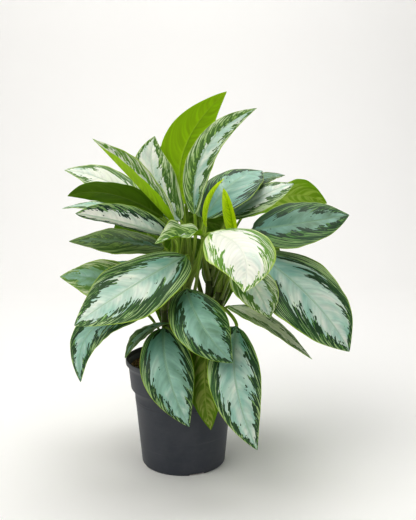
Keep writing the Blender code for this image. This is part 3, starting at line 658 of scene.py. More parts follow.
def scatter_tree():
    """Geometry nodes that strew rough crumbs of several sizes over a surface."""
    tree, new, given = new_tree("peat_scatter", "Crumbs", {
        "Ground": "Geometry", "Crumb": "Float", "Spacing": "Float", "Seed": "Int",
        "Material": "Material"})
    seed = given["Seed"]
    points = new("GeometryNodeDistributePointsOnFaces", {
        "Mesh": given["Ground"], "Distance Min": given["Spacing"],
        "Density Max": CRUMBS_PER_SQUARE_METRE, "Seed": seed}, distribute_method="POISSON")
    ball = new("GeometryNodeMeshIcoSphere", {"Radius": 1.0, "Subdivisions": 1})
    turn = new("FunctionNodeRandomValue", {
        0: (0.0, 0.0, 0.0), 1: (math.tau, math.tau, math.tau), "Seed": seed},
        data_type="FLOAT_VECTOR")
    shape = new("FunctionNodeRandomValue", {
        0: CRUMB_SHAPES[0], 1: CRUMB_SHAPES[1],
        "Seed": new("Math", (seed, 1.0), operation="ADD")}, data_type="FLOAT_VECTOR")
    scale = new("VectorMath", (shape, given["Crumb"]), operation="SCALE")
    strewn = new("GeometryNodeInstanceOnPoints", {
        "Points": points.outputs["Points"], "Instance": ball, "Rotation": turn, "Scale": scale})
    kind = new("FunctionNodeRandomValue", {
        2: 0.0, 3: 1.0, "Seed": new("Math", (seed, 2.0), operation="ADD")}, data_type="FLOAT")
    marked = new("GeometryNodeStoreNamedAttribute", {
        "Geometry": strewn, "Name": "kind", "Value": kind}, data_type="FLOAT",
        domain="INSTANCE")
    real = new("GeometryNodeRealizeInstances", {"Geometry": marked})
    # Each crumb is roughened by noise of about its own size
    rough = new("TexNoise", {"Vector": new("GeometryNodeInputPosition"), "Scale": 700.0,
                             "Detail": 1.0}).outputs["Color"]
    centred = new("VectorMath", (rough, (0.5, 0.5, 0.5)), operation="SUBTRACT")
    push = new("VectorMath", (centred, CRUMB_ROUGHNESS), operation="SCALE")
    end_tree(new, new("GeometryNodeSetPosition", {"Geometry": real, "Offset": push}), given)
    return tree


def soil_height(x, y):
    """Height of the soil's surface over a point; the crown and the lumps fade at the wall."""
    reach = min(math.hypot(x, y) / SOIL_REACH, 1.0)
    across, back, slanted = SOIL_LUMPS
    lumps = math.sin(across * x) * math.cos(back * y) + math.sin(slanted * (x + y))
    return SOIL_TOP + (1 - reach ** 2) * (SOIL_CROWN + lumps) * MM


def crumb_bed():
    """A disc that follows the soil just above its surface, for the crumbs to lie on."""
    bm = bmesh.new()
    bmesh.ops.create_grid(bm, x_segments=BED_STEPS, y_segments=BED_STEPS, size=BED_RADIUS)
    outside = [v for v in bm.verts if math.hypot(v.co.x, v.co.y) > BED_RADIUS]
    bmesh.ops.delete(bm, geom=outside, context="VERTS")
    for vert in bm.verts:
        vert.co.z = soil_height(vert.co.x, vert.co.y) + BED_LIFT
    return mesh_from("peat_crumbs", bm)


class EVERGREEN_OT_soil(bpy.types.Operator):
    """Give the soil its peat and strew crumbs over its surface"""
    bl_idname = "evergreen.soil"
    bl_label = "Soil"

    def execute(self, context):
        settings = context.scene.evergreen_soil
        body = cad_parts["soil"]
        body.data.materials.clear()
        body.data.materials.append(peat_mix("moist_peat_mix", settings, crumbs=False))
        crumbs = link("peat_crumbs", crumb_bed())
        grow(crumbs, scatter_tree(), crumb=settings.crumb, spacing=settings.spacing,
             seed=settings.seed,
             material=peat_mix("loose_peat_crumbs", settings, crumbs=True))
        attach(crumbs, "root")
        return {"FINISHED"}


# Canes

def cane_skin(settings):
    """Cane skin, grown: green and satin above, corky at the foot and on the leaf scars."""
    made, new = new_material("green_cane_skin")
    place = new("TexCoord").outputs["Object"]
    scar = new("Attribute", attribute_name="scar").outputs["Fac"]
    blotch = new("TexNoise", {"Vector": place, "Scale": 260.0, "Detail": 4.0})
    height = new("SeparateXYZ", (place,)).outputs["Z"]
    old = new("MapRange", (height, SOIL_TOP, SOIL_TOP + CORKY_HEIGHT, 0.8, 0.1))
    worn = new("Math", (scar, 0.7, old), operation="MULTIPLY_ADD")
    patchy = new("Math", (worn, blotch), operation="MULTIPLY", use_clamp=True)
    corky = new("Math", (patchy, 1.8), operation="MULTIPLY", use_clamp=True)
    skin = new("Mix", (corky, settings.green, settings.corky), **PAINTED)
    roughness = new("MapRange", (corky, 0.0, 1.0, 0.38, 0.75))
    bump = new("Bump", {"Strength": 0.4, "Distance": 0.0004, "Height": blotch})
    surface(new, skin, roughness, bump, IOR=1.42)
    return made


def cane_tree():
    """Geometry nodes that sweep a ringed stem between two points."""
    tree, new, given = new_tree("ringed_cane", "Cane", {
        "Foot": "Vector", "Top": "Vector", "Radius": "Float", "Scar spacing": "Float",
        "Scar height": "Float", "Material": "Material"})
    line = new("GeometryNodeCurvePrimitiveLine", {"Start": given["Foot"], "End": given["Top"]})
    fine = new("GeometryNodeResampleCurve", {"Curve": line, "Count": 150})
    way = new("GeometryNodeSplineParameter").outputs
    # A scar is a narrow swelling at each step of the spacing
    steps = new("Math", (way["Length"], given["Scar spacing"]), operation="DIVIDE")
    within = new("Math", (steps, 0.5), operation="PINGPONG")
    scar = new("MapRange", (within, 0.38, 0.5), interpolation_type="SMOOTHSTEP")
    swell = new("Math", (scar, given["Scar height"], given["Radius"]),
                operation="MULTIPLY_ADD")
    # The top narrows to about a third
    tip = new("MapRange", (way["Factor"], 0.95, 1.0, 1.0, 0.35),
              interpolation_type="SMOOTHSTEP")
    radius = new("Math", (swell, tip), operation="MULTIPLY")
    marked = new("GeometryNodeStoreNamedAttribute", {
        "Geometry": fine, "Name": "scar", "Value": scar}, data_type="FLOAT", domain="POINT")
    ring = new("GeometryNodeCurvePrimitiveCircle", {"Radius": 1.0, "Resolution": 20})
    end_tree(new, new("GeometryNodeCurveToMesh", {
        "Curve": marked, "Profile Curve": ring.outputs["Curve"], "Scale": radius,
        "Fill Caps": True}), given)
    return tree


def on_axis(cane, height):
    """The point on a cane's axis at a height."""
    foot, top = Vector(cane.foot), Vector(cane.top)
    return foot.lerp(top, (height - foot.z) / (top.z - foot.z))


class EVERGREEN_OT_canes(bpy.types.Operator):
    """Grow the ringed canes that the leaves stand on"""
    bl_idname = "evergreen.canes"
    bl_label = "Canes"

    def execute(self, context):
        settings = context.scene.evergreen_canes
        tree, skin = cane_tree(), cane_skin(settings)
        for name, cane in CANES.items():
            stem = link(f"{name}_cane", bpy.data.meshes.new(f"{name}_cane"))
            grow(stem, tree, foot=on_axis(cane, SOIL_TOP - CANE_DEPTH), top=on_axis(
                cane, cane.top[2]), radius=settings.radius, scar_spacing=settings.scar_spacing,
                scar_height=settings.scar_height, material=skin)
            face_outwards(stem.data, crease=60)
            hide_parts(f"cane_{name}")
            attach(stem, "root")
        return {"FINISHED"}


# Leaves

def unit(vectors):
    """Vectors brought to length one."""
    return vectors / np.maximum(np.linalg.norm(vectors, axis=-1, keepdims=True), 1e-12)


def ease(t):
    """A smooth step from 0 to 1, held at both ends."""
    t = np.clip(t, 0.0, 1.0)
    return t * t * (3 - 2 * t)


def frame_of(direction, facing):
    """Sideways and upper-side vectors of a section, from its direction and rough facing."""
    sideways = unit(np.cross(direction, facing))
    return sideways, np.cross(sideways, direction)


def midrib(leaf, along):
    """Points on a blade's midrib and its direction there, 0 at the base and 1 at the tip."""
    base, middle, tip = np.array(leaf.base), np.array(leaf.middle), np.array(leaf.tip)
    bend = 2 * middle - (base + tip) / 2
    t = np.asarray(along, dtype=float)[:, None]
    points = (1 - t) ** 2 * base + 2 * t * (1 - t) * bend + t ** 2 * tip
    return points, unit((1 - t) * (bend - base) + t * (tip - bend))


def stalk_line(leaf, along):
    """Points on a stalk and its direction there, 0 at the cane and 1 at the blade."""
    angle = math.radians(leaf.angle)
    outward = np.array((math.cos(angle), math.sin(angle), 0.0))
    start = np.array(on_axis(CANES[leaf.cane], leaf.height)) + STALK_SEAT * outward
    (end,), (end_direction,) = midrib(leaf, [0.0])
    reach = np.linalg.norm(end - start)
    up = np.array((0.0, 0.0, 1.0))
    leaving = STALK_RISE * reach * (math.cos(STALK_LEAN) * up + math.sin(STALK_LEAN) * outward)
    arriving = STALK_ARCH * reach * end_direction
    t = np.asarray(along, dtype=float)[:, None]
    points = ((2 * t ** 3 - 3 * t ** 2 + 1) * start + (t ** 3 - 2 * t ** 2 + t) * leaving
              + (3 * t ** 2 - 2 * t ** 3) * end + (t ** 3 - t ** 2) * arriving)
    directions = unit((6 * t ** 2 - 6 * t) * start + (3 * t ** 2 - 4 * t + 1) * leaving
                      + (6 * t - 6 * t ** 2) * end + (3 * t ** 2 - 2 * t) * arriving)
    return points, directions, -outward


def stalk_frames(leaf, along, directions, inward):
    """Sideways and upper-side vectors of a stalk: flat on the cane, then eased into the blade's."""
    carried = [frame_of(directions[0], inward)[0]]
    for direction in directions[1:]:
        last = carried[-1]
        carried.append(unit(last - np.dot(last, direction) * direction))
    wanted = frame_of(directions[-1], np.array(leaf.faces))[0]
    sine = np.dot(np.cross(carried[-1], wanted), directions[-1])
    twist = math.atan2(sine, np.dot(carried[-1], wanted)) * ease(along)[:, None]
    carried = np.array(carried)
    raised = np.cross(carried, directions)
    sideways = np.cos(twist) * carried - np.sin(twist) * raised
    return sideways, np.cross(sideways, directions)


def half_width(leaf, along):
    """Half the blade's width: widest before the middle, round at the base, fine at the tip."""
    swell = np.maximum(np.sin(np.pi * along ** WIDEST_SHIFT), 0.0)
    power = BASE_ROUNDNESS + (TIP_TAPER - BASE_ROUNDNESS) * ease(along)
    return np.maximum(leaf.width / 2 * swell ** power, TIP_HALF_WIDTH)


def stalk_sections(leaf, across):
    """Rings of points down the stalk: the upper side from left to right, then the lower back."""
    along = np.linspace(0.0, 1.0, STALK_SECTIONS)
    points, directions, inward = stalk_line(leaf, along)
    sideways, raised = stalk_frames(leaf, along, directions, inward)
    wide = np.interp(along, STALK_TABLE, STALK_HALF_WIDTHS)[:, None]
    deep = np.interp(along, STALK_TABLE, STALK_HALF_DEPTHS)[:, None]
    count = len(across)
    angles = np.pi * (1 - (np.arange(count) + 0.5) / count)
    out = wide * np.cos(angles)
    # The sheath bends round the cane, and the upper side has a channel further out
    sheath = 1 - ease(along / SHEATH_LENGTH)[:, None]
    clasp = sheath * out ** 2 / (2 * CLASP_RADIUS)
    channel = CHANNEL_DEPTH * (1 - sheath) * np.exp(-(np.cos(angles) / CHANNEL_WIDTH) ** 2)
    over = deep * np.sin(angles) * (1 - channel) + clasp
    under = -deep * np.sin(angles) * (1 - SHEATH_THINNING * sheath) + clasp
    upper, lower = (points[:, None] + out[..., None] * sideways[:, None]
                    + lift[..., None] * raised[:, None] for lift in (over, under))
    return along, np.concatenate((upper, lower[:, ::-1]), axis=1), wide


def vein_field(leaf, along, across):
    """Distance in millimetres that is the same all along one lateral vein."""
    steps = np.linalg.norm(np.diff(midrib(leaf, along)[0], axis=0), axis=1)
    travelled = np.concatenate(((0.0,), np.cumsum(steps)))[:, None]
    share = np.abs(across)[None]
    swing = VEIN_START * share + VEIN_SWING * share ** 3 / 3
    return (travelled - half_width(leaf, along)[:, None] * swing) / MM


def blade_sections(leaf, across, settings, seed):
    """Rings of points along the blade, laid out as the stalk's are."""
    steady = np.linspace(0.0, 1.0, BLADE_SECTIONS)
    along = steady - END_CROWDING * np.sin(2 * np.pi * steady) / (2 * np.pi)
    centre, directions = midrib(leaf, along)
    sideways, raised = frame_of(directions, np.array(leaf.faces))
    half = half_width(leaf, along)[:, None]
    veins = vein_field(leaf, along, across)
    reach, hand = np.abs(across)[None], np.where(across < 0, -1.0, 1.0)[None]
    way = along[:, None]
    swell = np.sin(np.pi * along)[:, None]
    # Each half rises by the fold and bends down by the curl; both flatten out at the tip
    flattening = 1 - way ** TIP_FLATTENING
    fold, curl = math.radians(leaf.fold) * flattening, math.radians(leaf.curl) * flattening
    chord = half * reach * np.sinc(curl * reach / (2 * np.pi))
    out = chord * np.cos(fold - curl * reach / 2) * hand
    wave_phase = 2 * np.pi * WAVES_ALONG_BLADE * way + WAVE_STEP * hand
    wave = leaf.wave * leaf.width * np.sin(wave_phase) * reach ** 2 * swell
    ripple_phase = 2 * np.pi * RIPPLES_ALONG_BLADE * way + (seed + RIPPLE_STEP) * hand
    ripple = RIPPLE_HEIGHT * np.sin(ripple_phase) * reach ** 3 * swell
    quilt = settings.quilting * np.cos(2 * np.pi * veins * MM / settings.vein_spacing)
    quilt = quilt * ease(reach / QUILT_START) * swell * (
        1 - ease((reach - QUILT_FADES_FROM) / QUILT_FADING))
    # A rolled leaf has no waves and stays smooth
    calm = 0.0 if leaf.wave == 0 else 1.0
    lift = chord * np.sin(fold - curl * reach / 2) + wave + calm * (ripple + quilt)
    middle = (centre[:, None] + out[..., None] * sideways[:, None]
              + lift[..., None] * raised[:, None])
    # The skins lie on both sides of this surface, with a sunk groove above and a keel below
    normal = unit(np.cross(np.gradient(middle, axis=1), np.gradient(middle, axis=0)))
    skin = (settings.thickness + (settings.margin - settings.thickness) * reach) / 2
    ridge = np.exp(-(half * reach / (RIDGE_WIDTH * (RIDGE_TAPER - way))) ** 2)
    groove = settings.groove * ridge * (1 - GROOVE_FADING * way)
    keel = settings.keel * ridge * (1 - way) ** KEEL_TAPER
    top = middle + (skin - groove)[..., None] * normal
    bottom = middle - (skin + keel)[..., None] * normal
    return along, np.concatenate((top, bottom[:, ::-1]), axis=1), half, veins


def leaf_faces(rings, count):
    """Faces between rings of points and over both ends, with the skin that each of them has."""
    ring_size = 2 * count
    faces, skins = [], []
    for row in range(rings - 1):
        here, onward = row * ring_size, (row + 1) * ring_size
        for i in range(ring_size):
            j = (i + 1) % ring_size
            faces.append((here + i, here + j, onward + j, onward + i))
            skins.append(STALK if row < STALK_SECTIONS else UPPER if i < count - 1 else LOWER)
    for row, end_skin in ((0, STALK), (rings - 1, LOWER)):
        start = row * ring_size
        for i in range(count - 1):
            corners = (start + i, start + i + 1, start + ring_size - 2 - i,
                       start + ring_size - 1 - i)
            faces.append(corners if row else corners[::-1])
            skins.append(end_skin)
    return faces, skins


def together(*parts):
    """Numbers and fields over the same points, brought together as one field of vectors."""
    return np.stack(np.broadcast_arrays(*parts), axis=-1)


def leaf_fields(leaf, seed, across, stalk_along, stalk_wide, along, half, veins):
    """What the materials read at each point of a leaf, for its stalk and for its blade.

    vein: millimetres of midrib where the point's vein starts, share of the half blade, pattern
    look: share of green margin, paleness, share of lime
    rib: distance from the midrib, way along the blade or the stalk, ghost on the underside
    """
    margin, paleness_and_shade, lime, ghost, lean = leaf.look
    share = np.abs(np.concatenate((across, across[::-1])))
    hand = np.sign(np.concatenate((across, across[::-1])))
    turn = np.arange(len(share)) / len(share)
    down = stalk_along[:, None]
    rows = along[1:, None]
    pattern = seed * PATTERN_STEP
    widened = (margin + BASE_GREEN * (1 - ease(rows / BASE_GREEN_TO))
               + TIP_GREEN * ease((rows - TIP_GREEN_FROM) / (1 - TIP_GREEN_FROM)))
    starts = np.concatenate((veins, veins[:, ::-1]), axis=1)[1:]
    rib_width = RIB_WIDTH * (RIB_TAPER - rows)
    # The way round a stalk is about four times its half width
    stalk_vein = together(stalk_wide * 4 / MM * turn, down, pattern)
    return {
        "vein": (stalk_vein, together(starts, share, pattern + HALVES_APART * hand)),
        "look": (np.broadcast_to((margin, paleness_and_shade, lime), stalk_vein.shape),
                 together(widened + lean * hand, paleness_and_shade, lime)),
        "rib": (together(np.ones_like(turn), down, ghost),
                together(half[1:] * share / rib_width, rows, ghost)),
    }


def leaf_mesh(name, leaf, settings, seed):
    """One leaf, stalk and blade in one closed skin, with what its materials read stored on it."""
    across = np.array([-a for a in HALF_ACROSS[:0:-1]] + list(HALF_ACROSS))
    stalk_along, stalk, stalk_wide = stalk_sections(leaf, across)
    along, blade, half, veins = blade_sections(leaf, across, settings, seed)
    # The blade's base grows out of the last ring of the stalk
    blend = ease(along / BLADE_BASE_BLEND)[:, None, None]
    shift = midrib(leaf, along)[0] - midrib(leaf, [0.0])[0]
    carried = stalk[-1][None] + shift[:, None]
    blade = carried * (1 - blend) + blade * blend
    rings = np.concatenate((stalk, blade[1:]))
    faces, skins = leaf_faces(len(rings), len(across))
    mesh = bpy.data.meshes.new(name)
    mesh.from_pydata(rings.reshape(-1, 3).tolist(), [], faces)
    mesh.polygons.foreach_set("material_index", skins)
    fields = leaf_fields(leaf, seed, across, stalk_along, stalk_wide, along, half, veins)
    for key, parts in fields.items():
        stored = mesh.attributes.new(key, "FLOAT_VECTOR", "POINT")
        stored.data.foreach_set("vector", np.concatenate(parts).astype(np.float32).ravel())
    return mesh


def along_veins(new, vein, width, dash, **noise):
    """Noise drawn out along the lateral veins: cells a width across (in millimetres of midrib)
    and so many to the half blade along the vein."""
    drawn = new("VectorMath", (vein, (1 / width, dash, 1.0)), operation="MULTIPLY")
    return new("TexNoise", {"Vector": drawn, "Scale": 1.0, **noise})


def leaf_values(new):
    """What all leaf skins read: the stored vectors and their parts, and how far a point lies
    outside the ragged line where the green of the margin begins."""
    vein, look, rib = (new("Attribute", attribute_name=name).outputs["Vector"]
                       for name in ("vein", "look", "rib"))
    share, look, rib = (new("SeparateXYZ", (vector,)).outputs for vector in (vein, look, rib))
    # Long teeth with smaller and smaller ones on them
    level = new("Math", (share[1], look[0]), operation="ADD")
    for width, dash, height in TEETH:
        noise = along_veins(new, vein, width, dash, Detail=1.0)
        level = new("Math", (noise, height, level), operation="MULTIPLY_ADD")
    middling = 1.0 + sum(height for _, _, height in TEETH) / 2
    level = new("Math", (level, middling), operation="SUBTRACT")
    return vein, share[1], look, rib, level


def leaf_bump(new, vein):
    """The relief of fine lateral veins and of the cells between them."""
    veins = along_veins(new, vein, 5.0, 1.0, Detail=1.5)
    return new("Bump", {"Strength": 0.35, "Distance": 0.0009, "Height": veins})


def flesh(weight, red, green, blue):
    """Light that spreads under a skin, as far as given in millimetres for each colour."""
    return {"Subsurface_Weight": weight, "Subsurface_Scale": 1.0,
            "Subsurface_Radius": (red * MM, green * MM, blue * MM)}


def silver_middle(new, settings, vein, look, rib, cloud):
    """The middle of a grown leaf: dull silver, silver or cream in soft clouds, with teal near
    its base and faint veins."""
    paleness_and_shade, lime = look[1], look[2]
    cloudy = new("MapRange", (cloud, 0.25, 0.75, -0.60, 0.60))
    tone = new("Math", (cloudy, paleness_and_shade), operation="ADD")
    # Below zero the tone turns towards the dull silver, which is partly painted shade
    shade = new("Mix", (lime, settings.shadow, settings.underside), **PAINTED)
    dull_and_shaded = new("Mix", (new("MapRange", (tone, 0.0, -1.0)), settings.silver, shade), **PAINTED)
    middle = new("Mix", (new("MapRange", (tone, 0.0, 1.0)), dull_and_shaded, settings.cream), **PAINTED)
    # There is no teal on a leaf that is cream all over
    onward = new("Math", (cloud, 0.5, rib[1]), operation="MULTIPLY_ADD")
    near_base = new("MapRange", (onward, 0.25, 0.75, 0.8, 0.0))
    not_cream = new("MapRange", (paleness_and_shade, 0.3, 1.1, 1.0, 0.0))
    teal = new("Math", (near_base, not_cream), operation="MULTIPLY")
    tealed = new("Mix", (teal, middle, settings.teal), **PAINTED)
    thin = along_veins(new, vein, 4.5, 1.2, Detail=1.5)
    return new("Mix", (1.0, tealed, new("MapRange", (thin, 0.3, 0.7, 0.89, 1.07))), **TINTED)


def green_margin(new, settings, vein, share, look, dark):
    """The margin of a leaf: green, or lime when young, between fine dark lines and pale ones."""
    paleness_and_shade, lime = look[1], look[2]
    green = new("Mix", (lime, settings.green, settings.lime), **PAINTED)
    lines = along_veins(new, vein, 5.6, 1.7, Detail=1.5)
    ruled = new("Mix", (new("MapRange", (lines, 0.51, 0.46, 0.0, 0.88)), green, dark), **PAINTED)
    # Pale lines lie near the edge; young leaves have more, and leaves darkened by painted shade
    # fainter ones
    edge = new("MapRange", (share, 0.60, 0.95, 0.0, 0.03))
    more = new("Math", (lime, 0.09, lines), operation="MULTIPLY_ADD")
    more = new("Math", (more, edge), operation="ADD")
    in_light = new("MapRange", (paleness_and_shade, -1.0, 0.0, 0.3, 0.9))
    near_edge = new("MapRange", (share, 0.35, 0.80, 0.25, 1.0))
    clear = new("Math", (in_light, near_edge), operation="MULTIPLY")
    pale = new("Math", (new("MapRange", (more, 0.53, 0.58)), clear), operation="MULTIPLY")
    bright = new("Mix", (lime, settings.pale_line, settings.cream), **PAINTED)
    return new("Mix", (pale, ruled, bright), **PAINTED)


def dashes(new, vein, level):
    """Where the dashes lie: close together at the teeth, fewer towards the edge and inside."""
    cells = along_veins(new, vein, 6.4, 5.0, Detail=2.5, Roughness=0.6)
    inside = new("MapRange", (level, -0.14, 0.02, -0.23, 0.07))
    outside = new("MapRange", (level, 0.07, 0.34, 0.0, -0.15))
    crowd = new("Math", (inside, outside), operation="ADD")
    return new("MapRange", (new("Math", (cells, crowd), operation="ADD"), 0.50, 0.53))


def with_midrib(new, settings, lime, rib, skin):
    """A leaf's colour with its midrib drawn on it: a thin dark groove between two pale
    shoulders, hardly there on a young leaf."""
    faint = new("MapRange", (lime, 0.3, 1.0, 0.25, 0.05))
    for start, end, tint in ((1.6, 0.7, settings.pale_line), (0.55, 0.25, settings.teal)):
        strip = new("Math", (new("MapRange", (rib[0], start, end)), faint), operation="MULTIPLY")
        skin = new("Mix", (strip, skin, tint), **PAINTED)
    return skin


def variegated_skin(settings):
    """The upper cuticle of a grown leaf, waxy and satin: a silver middle, and margins of dark
    dashes and pale lines on green, which follow the lateral veins and end in ragged teeth."""
    made, new = new_material("variegated_leaf_cuticle")
    vein, share, look, rib, level = leaf_values(new)
    paleness_and_shade, lime = look[1], look[2]
    # Clouds are about 20 mm across
    cloud = along_veins(new, vein, 26.0, 1.6, Detail=3.0)
    middle = silver_middle(new, settings, vein, look, rib, cloud)
    dark = new("Mix", (lime, settings.dark, settings.streak), **PAINTED)
    margin = green_margin(new, settings, vein, share, look, dark)
    starts = new("MapRange", (level, 0.0, 0.03), interpolation_type="SMOOTHSTEP")
    both = new("Mix", (starts, middle, margin), **PAINTED)
    dashed = new("Mix", (dashes(new, vein, level), both, dark), **PAINTED)
    # The lime line along the edge is wider on young leaves
    edge_start = new("Math", (lime, -0.07, 0.965), operation="MULTIPLY_ADD")
    edge_line = new("MapRange", (share, edge_start, 1.0, 0.0, 0.85))
    edged = new("Mix", (edge_line, dashed, settings.lime), **PAINTED)
    ribbed = with_midrib(new, settings, lime, rib, edged)
    # Painted shade: a leaf whose paleness is below zero is darkened all over
    shading = new("MapRange", (paleness_and_shade, -1.0, 0.0, 0.62, 1.0))
    skin = new("Mix", (1.0, ribbed, shading), **TINTED)
    surface(new, skin, new("MapRange", (cloud, 0.3, 0.7, 0.38, 0.52)), leaf_bump(new, vein),
            IOR=1.45, **flesh(0.12, 1.2, 1.6, 0.6))
    return made


def underside_skin(settings):
    """The lower cuticle, matte and plain green, with raised paler veins; on some leaves the
    silver shows through as a ghost."""
    made, new = new_material("leaf_underside_cuticle")
    vein, _, look, rib, level = leaf_values(new)
    # The ghost comes in stripes between the veins
    stripes = along_veins(new, vein, 7.0, 1.0, Detail=1.5)
    striped = new("MapRange", (stripes, 0.42, 0.56, 0.15, 1.0))
    through = new("Math", (striped, rib[2]), operation="MULTIPLY")
    middle = new("MapRange", (level, 0.10, -0.06))
    ghost = new("Math", (middle, through), operation="MULTIPLY")
    plain = new("Mix", (look[2], settings.underside, settings.underside_young), **PAINTED)
    ghosted = new("Mix", (ghost, plain, settings.underside_pale), **PAINTED)
    streaks = along_veins(new, vein, 7.0, 0.8, Detail=2.0)
    streaky = new("MapRange", (streaks, 0.3, 0.7, 0.82, 1.12))
    streaked = new("Mix", (1.0, ghosted, streaky), **TINTED)
    # Painted light and shade: each underside is darkened or lightened by its leaf's paleness, as
    # light falls on it
    shading = new("MapRange", (look[1], -1.0, 1.0, 0.35, 1.15))
    shaded = new("Mix", (1.0, streaked, shading), **TINTED)
    on_rib = new("MapRange", (rib[0], 1.1, 0.4, 0.0, 0.2))
    ribbed = new("Mix", (on_rib, shaded, settings.underside_pale), **PAINTED)
    surface(new, ribbed, new("MapRange", (streaks, 0.3, 0.7, 0.5, 0.65)), leaf_bump(new, vein),
            IOR=1.30, **flesh(0.15, 1.2, 1.6, 0.4))
    return made


def stalk_skin(settings):
    """Stalk skin, smooth and glossy: olive green with lengthwise pale streaks, paler where the
    stalk widens into its papery sheath, and darkened towards the cane by painted shade."""
    made, new = new_material("glossy_stalk_skin")
    vein = new("Attribute", attribute_name="vein").outputs["Vector"]
    rib = new("Attribute", attribute_name="rib").outputs["Vector"]
    along = new("SeparateXYZ", (rib,)).outputs["Y"]
    fibres = along_veins(new, vein, 1.1, 2.5, Detail=3.0, Roughness=0.65)
    pale_fibre = new("MapRange", (fibres, 0.42, 0.68, 0.0, 0.8))
    sheath = new("MapRange", (along, 0.0, 0.5, 0.35, 0.0))
    pale = new("Math", (pale_fibre, sheath), operation="ADD", use_clamp=True)
    unshaded_stalk = new("Mix", (pale, settings.stalk, settings.stalk_pale), **PAINTED)
    # Painted shade: the stalks darken towards the cane, where the clump shades them
    skin = new("Mix", (1.0, unshaded_stalk, new("MapRange", (along, 0.05, 0.60, 0.45, 1.0))), **TINTED)
    bump = new("Bump", {"Strength": 0.3, "Distance": 0.0004, "Height": fibres})
    surface(new, skin, new("MapRange", (fibres, 0.3, 0.7, 0.28, 0.42)), bump, IOR=1.45,
            **flesh(0.1, 1.5, 2.0, 0.5))
    return made


def young_skin(settings):
    """A young leaf still rolled, thin and satin: lime, greener along its veins."""
    made, new = new_material("young_leaf_cuticle")
    vein = new("Attribute", attribute_name="vein").outputs["Vector"]
    lines = along_veins(new, vein, 1.25, 1.0, Detail=3.0)
    greener = new("MapRange", (lines, 0.40, 0.66, 0.0, 0.6))
    skin = new("Mix", (greener, settings.young, settings.underside), **PAINTED)
    surface(new, skin, new("MapRange", (lines, 0.0, 1.0, 0.35, 0.5)), leaf_bump(new, vein),
            IOR=1.45, **flesh(0.2, 1.5, 2.0, 0.5))
    return made


class EVERGREEN_OT_leaves(bpy.types.Operator):
    """Grow every leaf, blade and stalk in one, with its variegation"""
    bl_idname = "evergreen.leaves"
    bl_label = "Leaves"

    def execute(self, context):
        settings = context.scene.evergreen_leaves
        upper, under = variegated_skin(settings), underside_skin(settings)
        stalk, young = stalk_skin(settings), young_skin(settings)
        for seed, (name, leaf) in enumerate(LEAVES.items()):
            rolled = name in YOUNG_LEAVES
            mesh = leaf_mesh(f"{name}_leaf", leaf, settings, seed)
            for skin in (young, young, stalk) if rolled else (upper, under, stalk):
                mesh.materials.append(skin)
            face_outwards(mesh, crease=45)
            grown = link(f"{name}_leaf", mesh)
            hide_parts(f"leaf_{name}")
            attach(grown, "root")
        return {"FINISHED"}


# Stage

# The paper backdrop: where its bend starts behind the plant, and its extent
BEND_START = 1.2
BEND_RADIUS = 0.9
PAPER_TOP = 4.0
PAPER_HALF_WIDTH = 4.0


def backdrop_paper(settings):
    """Matte paper from a roll, nearly white, with faint clouds in it."""
    made, new = new_material("matte_backdrop_paper")
    place = new("TexCoord").outputs["Object"]
    tooth = new("TexNoise", {"Vector": place, "Scale": 2.0})
    tone = new("MapRange", (tooth, 0.0, 1.0, 0.98, 1.0))
    surface(new, new("Mix", (1.0, settings.paper, tone), **TINTED), 0.9)
    return made


def backdrop(settings):
    """A sheet of paper that is the floor and rises behind in one wide curve."""
    curve = [(y, 0.0) for y in (-3.0, -1.0, 0.0, BEND_START)]
    for degrees in range(6, 91, 6):
        angle = math.radians(degrees)
        curve.append((BEND_START + BEND_RADIUS * math.sin(angle),
                      BEND_RADIUS - BEND_RADIUS * math.cos(angle)))
    curve.append((BEND_START + BEND_RADIUS, PAPER_TOP))
    mesh = bpy.data.meshes.new("paper_backdrop")
    mesh.from_pydata([(x, y, z) for y, z in curve for x in (-PAPER_HALF_WIDTH, PAPER_HALF_WIDTH)],
                     [], [(2 * i, 2 * i + 1, 2 * i + 3, 2 * i + 2)
                          for i in range(len(curve) - 1)])
    mesh.shade_smooth()
    mesh.materials.append(backdrop_paper(settings))
    return mesh


def lamp(name, place, target, power, size, tint):
    """A large square lamp that looks at a point."""
    light = bpy.data.lights.new(name, "AREA")
    light.shape, light.size, light.energy, light.color = "SQUARE", size, power, tint
    thing = link(name, light)
    thing.location = place
    thing.rotation_euler = (Vector(target) - Vector(place)).to_track_quat("-Z", "Y").to_euler()


def aimed_camera(settings):
    """The camera, level from left to right and tipped down by its pitch."""
    camera = bpy.data.cameras.new("camera")
    camera.lens, camera.sensor_width, camera.sensor_fit = settings.lens, 36.0, "AUTO"
    thing = link("camera", camera)
    thing.location = settings.camera_place
    thing.rotation_euler = (math.pi / 2 - settings.camera_pitch, 0.0, 0.0)
    return thing


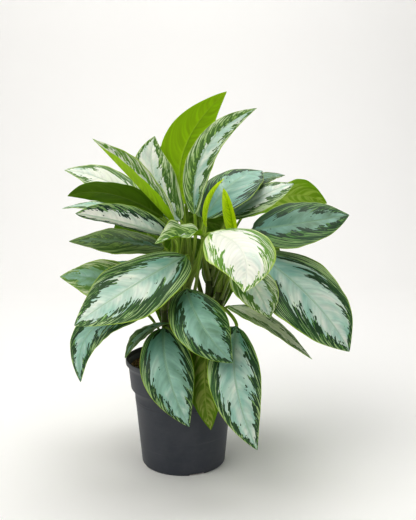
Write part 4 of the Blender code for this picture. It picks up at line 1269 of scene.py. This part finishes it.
class EVERGREEN_OT_stage(bpy.types.Operator):
    """Lay out the floor with its curved backdrop, the soft light and the camera"""
    bl_idname = "evergreen.stage"
    bl_label = "Stage"

    def execute(self, context):
        settings = context.scene.evergreen_stage
        link("paper_backdrop", backdrop(settings))

        world = bpy.data.worlds.new("studio_air")
        world.use_nodes = True
        air = world.node_tree.nodes["Background"]
        air.inputs["Color"].default_value = (0.98, 0.99, 1.0, 1.0)
        air.inputs["Strength"].default_value = settings.sky
        context.scene.world = world
        plant, wall = (0.03, 0.0, 0.30), (0.0, BEND_START + BEND_RADIUS, 0.5)
        lamp("key_lamp", (-1.3, -1.2, 1.9), plant, settings.key_power, 2.4, (1.0, 0.985, 0.96))
        lamp("top_lamp", (0.3, 0.3, 2.2), plant, settings.top_power, 1.4, (1.0, 1.0, 1.0))
        lamp("wall_lamp", (0.0, 0.9, 2.6), wall, settings.wall_power, 2.0, (1.0, 1.0, 1.0))
        lamp("fill_lamp", (1.8, -1.9, 0.9), plant, settings.fill_power, 2.4, (0.97, 0.98, 1.0))

        context.scene.camera = aimed_camera(settings)
        view = context.scene.view_settings
        view.view_transform, view.gamma = "Standard", settings.contrast
        return {"FINISHED"}


# Add-on

class EVERGREEN_PT_panel(bpy.types.Panel):
    """Lists the steps that build the plant"""
    bl_label = "Evergreen"
    bl_idname = "EVERGREEN_PT_panel"
    bl_space_type = "VIEW_3D"
    bl_region_type = "UI"
    bl_category = "Evergreen"

    def draw(self, context):
        for step in STEPS:
            self.layout.operator(step.bl_idname)


STEPS = (EVERGREEN_OT_stage, EVERGREEN_OT_pot, EVERGREEN_OT_soil, EVERGREEN_OT_canes,
         EVERGREEN_OT_leaves)
SETTINGS = {"evergreen_pot": PotSettings, "evergreen_soil": SoilSettings,
            "evergreen_canes": CaneSettings, "evergreen_leaves": LeafSettings,
            "evergreen_stage": StageSettings}


def register():
    """Register the settings, the steps and the panel."""
    for key, group in SETTINGS.items():
        bpy.utils.register_class(group)
        setattr(bpy.types.Scene, key, PointerProperty(type=group))
    for step in (*STEPS, EVERGREEN_PT_panel):
        bpy.utils.register_class(step)


def unregister():
    """Take the panel, the steps and the settings away again."""
    for step in (EVERGREEN_PT_panel, *STEPS[::-1]):
        bpy.utils.unregister_class(step)
    for key, group in SETTINGS.items():
        delattr(bpy.types.Scene, key)
        bpy.utils.unregister_class(group)


def main():
    """Register the add-on and build everything, step after step."""
    register()
    for step in STEPS:
        group, name = step.bl_idname.split(".")
        getattr(getattr(bpy.ops, group), name)()


if __name__ == "__main__":
    main()
